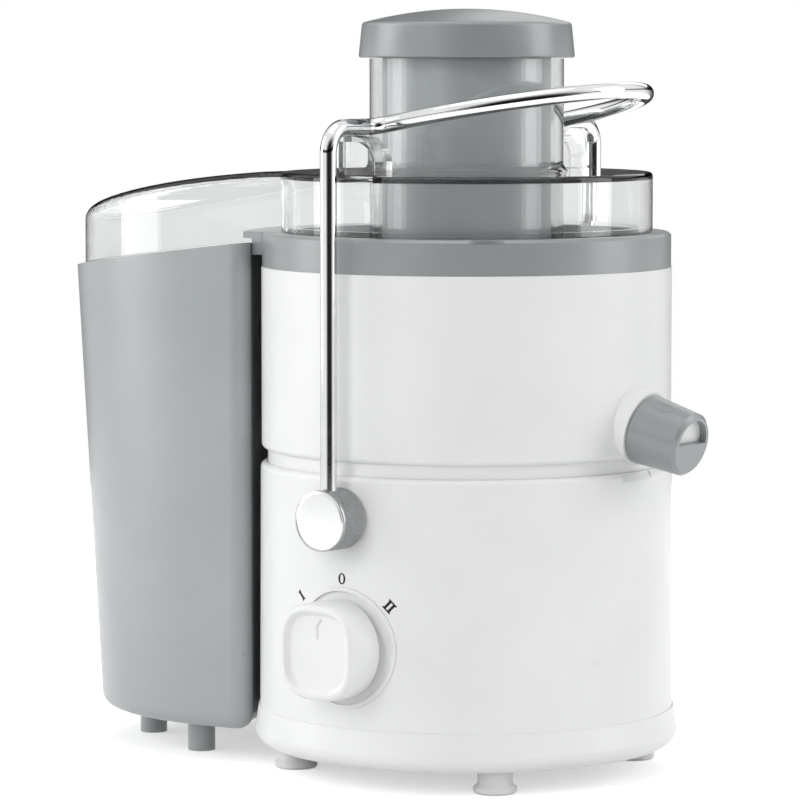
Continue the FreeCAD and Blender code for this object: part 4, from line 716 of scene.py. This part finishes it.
dripSign = {
    "origin": (79.0, 0.0, 129.6),
    "tiltDeg": 14.0,
    "rearRadius": 12.8,
    "tipRadius": 11.6,
    "rearAt": 1.0,
    "tipAt": 19.5,
    "turnDeg": 24.0,
    "lineWidth": 0.55,
    "lineSteps": 12,
    "arrow": [(5.0, -1.5), (9.4, -1.5), (9.4, -2.9), (13.6, 0.0), (9.4, 2.9), (9.4, 1.5), (5.0, 1.5)],
}


def ontoSleeve(flat):
    # (distance along the spout, distance round it) onto the sleeve's cone
    tilt = math.radians(dripSign["tiltDeg"])
    axis = np.array((math.cos(tilt), 0, -math.sin(tilt)))
    up = np.array((math.sin(tilt), 0, math.cos(tilt)))
    share = (flat[:, :1] - dripSign["rearAt"]) / (dripSign["tipAt"] - dripSign["rearAt"])
    radius = dripSign["rearRadius"] * (1 - share) + dripSign["tipRadius"] * share
    angle = flat[:, 1:] / radius + math.radians(dripSign["turnDeg"])
    normals = np.cos(angle) * up - np.sin(angle) * np.array((0.0, 1.0, 0.0))
    return np.array(dripSign["origin"]) + axis * flat[:, :1] + radius * normals, normals


def makeDripSign():
    corners = np.array(dripSign["arrow"])
    following = np.roll(corners, -1, 0)
    shells = [stroke(np.linspace(start, stop, dripSign["lineSteps"]), dripSign["lineWidth"], ontoSleeve)
              for start, stop in zip(corners, following)]
    makePiece("dripStopArrow", *joinShells(shells), "drip_stop", "grey_plastic", sharpAbove=30)


makeDripSign()
print("sign made")


# Floor, light and camera.

studio = {
    "floorRadius": 1.0,
    "floorLevel": -0.0002,
    "floorSides": 96,
    "floorTone": 0.82,
    "glowStarts": 0.25,
    "glowNear": 0.50,
    "glowFar": 1.0,
    "skyFill": 0.51,
    "mirrorDarks": (
        {"towards": (0.77, -0.64, 0.05), "starts": 0.62, "full": 0.95, "tone": 0.02},
        {"towards": (-0.57, 0.79, 0.22), "starts": 0.66, "full": 0.93, "tone": 0.06},
    ),
    "mirrorBand": {"level": 0.11, "half": 0.06, "tone": 0.08},
    "lamps": {
        "overhead": {"place": (0.0, -0.2, 1.9), "aim": (0, 0, 0.1), "size": (1.5, 1.1), "power": 5},
        "left": {"place": (-1.72, -1.02, 0.75), "aim": (0, 0, 0.13), "size": (0.95, 1.6), "power": 14.5},
        "key": {"place": (-0.1, -2.0, 1.0), "aim": (0, 0, 0.13), "size": (0.8, 1.3), "power": 12.0,
                "mirrored": False},
        "right": {"place": (1.70, 1.05, 0.8), "aim": (0, 0, 0.13), "size": (1.0, 1.6), "power": 16},
        "front": {"place": (1.54, -1.84, 1.3), "aim": (0, 0, 0.13), "size": (2.2, 1.6), "power": 4.2,
                  "mirrored": False},
        "rear": {"place": (-0.6, 1.8, 1.2), "aim": (0, 0, 0.15), "size": (1.2, 1.0), "power": 5},
    },
}


def seenBackground(tree):
    # 1 for the rays that look at the background directly, in a mirror or through something clear
    rays = tree.nodes.new("ShaderNodeLightPath").outputs
    direct = combined(tree, "ADD", rays["Is Camera Ray"], rays["Is Glossy Ray"], clamped=True)
    return combined(tree, "ADD", direct, rays["Is Transmission Ray"], clamped=True)


def paperFinish():
    # matt paper with a glow that grows towards the floor's edge and lights nothing
    paper = bpy.data.materials.new("studioPaper")
    paper.use_nodes = True
    tree = paper.node_tree
    tree.nodes.remove(tree.nodes["Principled BSDF"])
    matt = tree.nodes.new("ShaderNodeBsdfDiffuse")
    matt.inputs["Color"].default_value = (*[studio["floorTone"]] * 3, 1)
    glow = tree.nodes.new("ShaderNodeEmission")
    coords = tree.nodes.new("ShaderNodeTexCoord").outputs["Object"]
    spread = spanned(tree, vectorStep(tree, "LENGTH", coords),
                     (studio["glowStarts"], studio["floorRadius"]), (studio["glowNear"], studio["glowFar"]))
    tree.links.new(combined(tree, "MULTIPLY", seenBackground(tree), spread), glow.inputs["Strength"])
    both = tree.nodes.new("ShaderNodeAddShader")
    tree.links.new(matt.outputs["BSDF"], both.inputs[0])
    tree.links.new(glow.outputs["Emission"], both.inputs[1])
    tree.links.new(both.outputs["Shader"], tree.nodes["Material Output"].inputs["Surface"])
    return paper


def makeFloor():
    angle = np.linspace(0, 2 * np.pi, studio["floorSides"], endpoint=False)
    rim = studio["floorRadius"] * np.stack([np.cos(angle), np.sin(angle)], -1)
    corners = np.column_stack([rim, np.full(len(rim), studio["floorLevel"])])
    mesh = bpy.data.meshes.new("floor")
    mesh.from_pydata(corners.tolist(), [], [list(range(len(rim)))])
    mesh.materials.append(paperFinish())
    floor = bpy.data.objects.new("floor", mesh)
    bpy.context.scene.collection.objects.link(floor)


def makeWorld():
    # white to look at and dimmer as a light; mirrors see a white room with a dark doorway beyond the
    # camera, a dim patch behind the object and a dark band above the paper's edge
    world = bpy.data.worlds.new("studio")
    bpy.context.scene.world = world
    world.use_nodes = True
    tree = world.node_tree
    sky = tree.nodes["Background"]
    sky.inputs["Color"].default_value = (1, 1, 1, 1)
    plain = spanned(tree, seenBackground(tree), (0, 1), (studio["skyFill"], 1))
    heading = tree.nodes.new("ShaderNodeTexCoord").outputs["Generated"]
    upright = tree.nodes.new("ShaderNodeSeparateXYZ")
    tree.links.new(heading, upright.inputs[0])
    band = studio["mirrorBand"]
    within = combined(tree, "COMPARE", upright.outputs["Z"], band["level"])
    within.node.inputs[2].default_value = band["half"]
    mirrored = spanned(tree, within, (0, 1), (1, band["tone"]))
    for dark in studio["mirrorDarks"]:
        facing = vectorStep(tree, "DOT_PRODUCT", heading, dark["towards"])
        patch = spanned(tree, facing, (dark["starts"], dark["full"]), (1, dark["tone"]), "SMOOTHSTEP")
        mirrored = combined(tree, "MULTIPLY", mirrored, patch)
    rays = tree.nodes.new("ShaderNodeLightPath").outputs
    onlyMirrored = combined(tree, "SUBTRACT", rays["Is Glossy Ray"], rays["Is Transmission Ray"],
                            clamped=True)
    choice = tree.nodes.new("ShaderNodeMix")
    tree.links.new(onlyMirrored, choice.inputs["Factor"])
    tree.links.new(plain, choice.inputs["A"])
    tree.links.new(mirrored, choice.inputs["B"])
    tree.links.new(choice.outputs["Result"], sky.inputs["Strength"])


def aimed(place, target):
    # the turn that points an object's -Z from a place to a target
    return (Vector(target) - Vector(place)).to_track_quat("-Z", "Y").to_euler()


def makeLamps():
    for lampName, facts in studio["lamps"].items():
        lamp = bpy.data.lights.new(lampName, "AREA")
        lamp.shape = "RECTANGLE"
        lamp.size, lamp.size_y = facts["size"]
        lamp.energy = facts["power"]
        holder = bpy.data.objects.new(lampName, lamp)
        bpy.context.scene.collection.objects.link(holder)
        holder.visible_glossy = facts.get("mirrored", True)
        holder.location = facts["place"]
        holder.rotation_euler = aimed(facts["place"], facts["aim"])


camera = {
    "distance": 1.537,
    "height": 0.2664,
    "azimuthDeg": 35.5,
    "pitchDeg": 4.85,
    "swingDeg": 0.918,
    "lens": 186.75,
    "sensor": 36,
    "clip": (0.05, 50),
}


def makeCamera():
    eye = bpy.data.cameras.new("camera")
    eye.lens = camera["lens"]
    eye.sensor_width = camera["sensor"]
    eye.clip_start, eye.clip_end = camera["clip"]
    holder = bpy.data.objects.new("camera", eye)
    bpy.context.scene.collection.objects.link(holder)
    azimuth = math.radians(camera["azimuthDeg"])
    holder.location = (camera["distance"] * math.sin(azimuth), -camera["distance"] * math.cos(azimuth),
                       camera["height"])
    holder.rotation_euler = (math.radians(90 - camera["pitchDeg"]), 0,
                             math.radians(camera["azimuthDeg"] + camera["swingDeg"]))
    bpy.context.scene.camera = holder


makeFloor()
makeWorld()
makeLamps()
makeCamera()
bpy.context.scene.view_settings.view_transform = "Standard"
print("studio made")
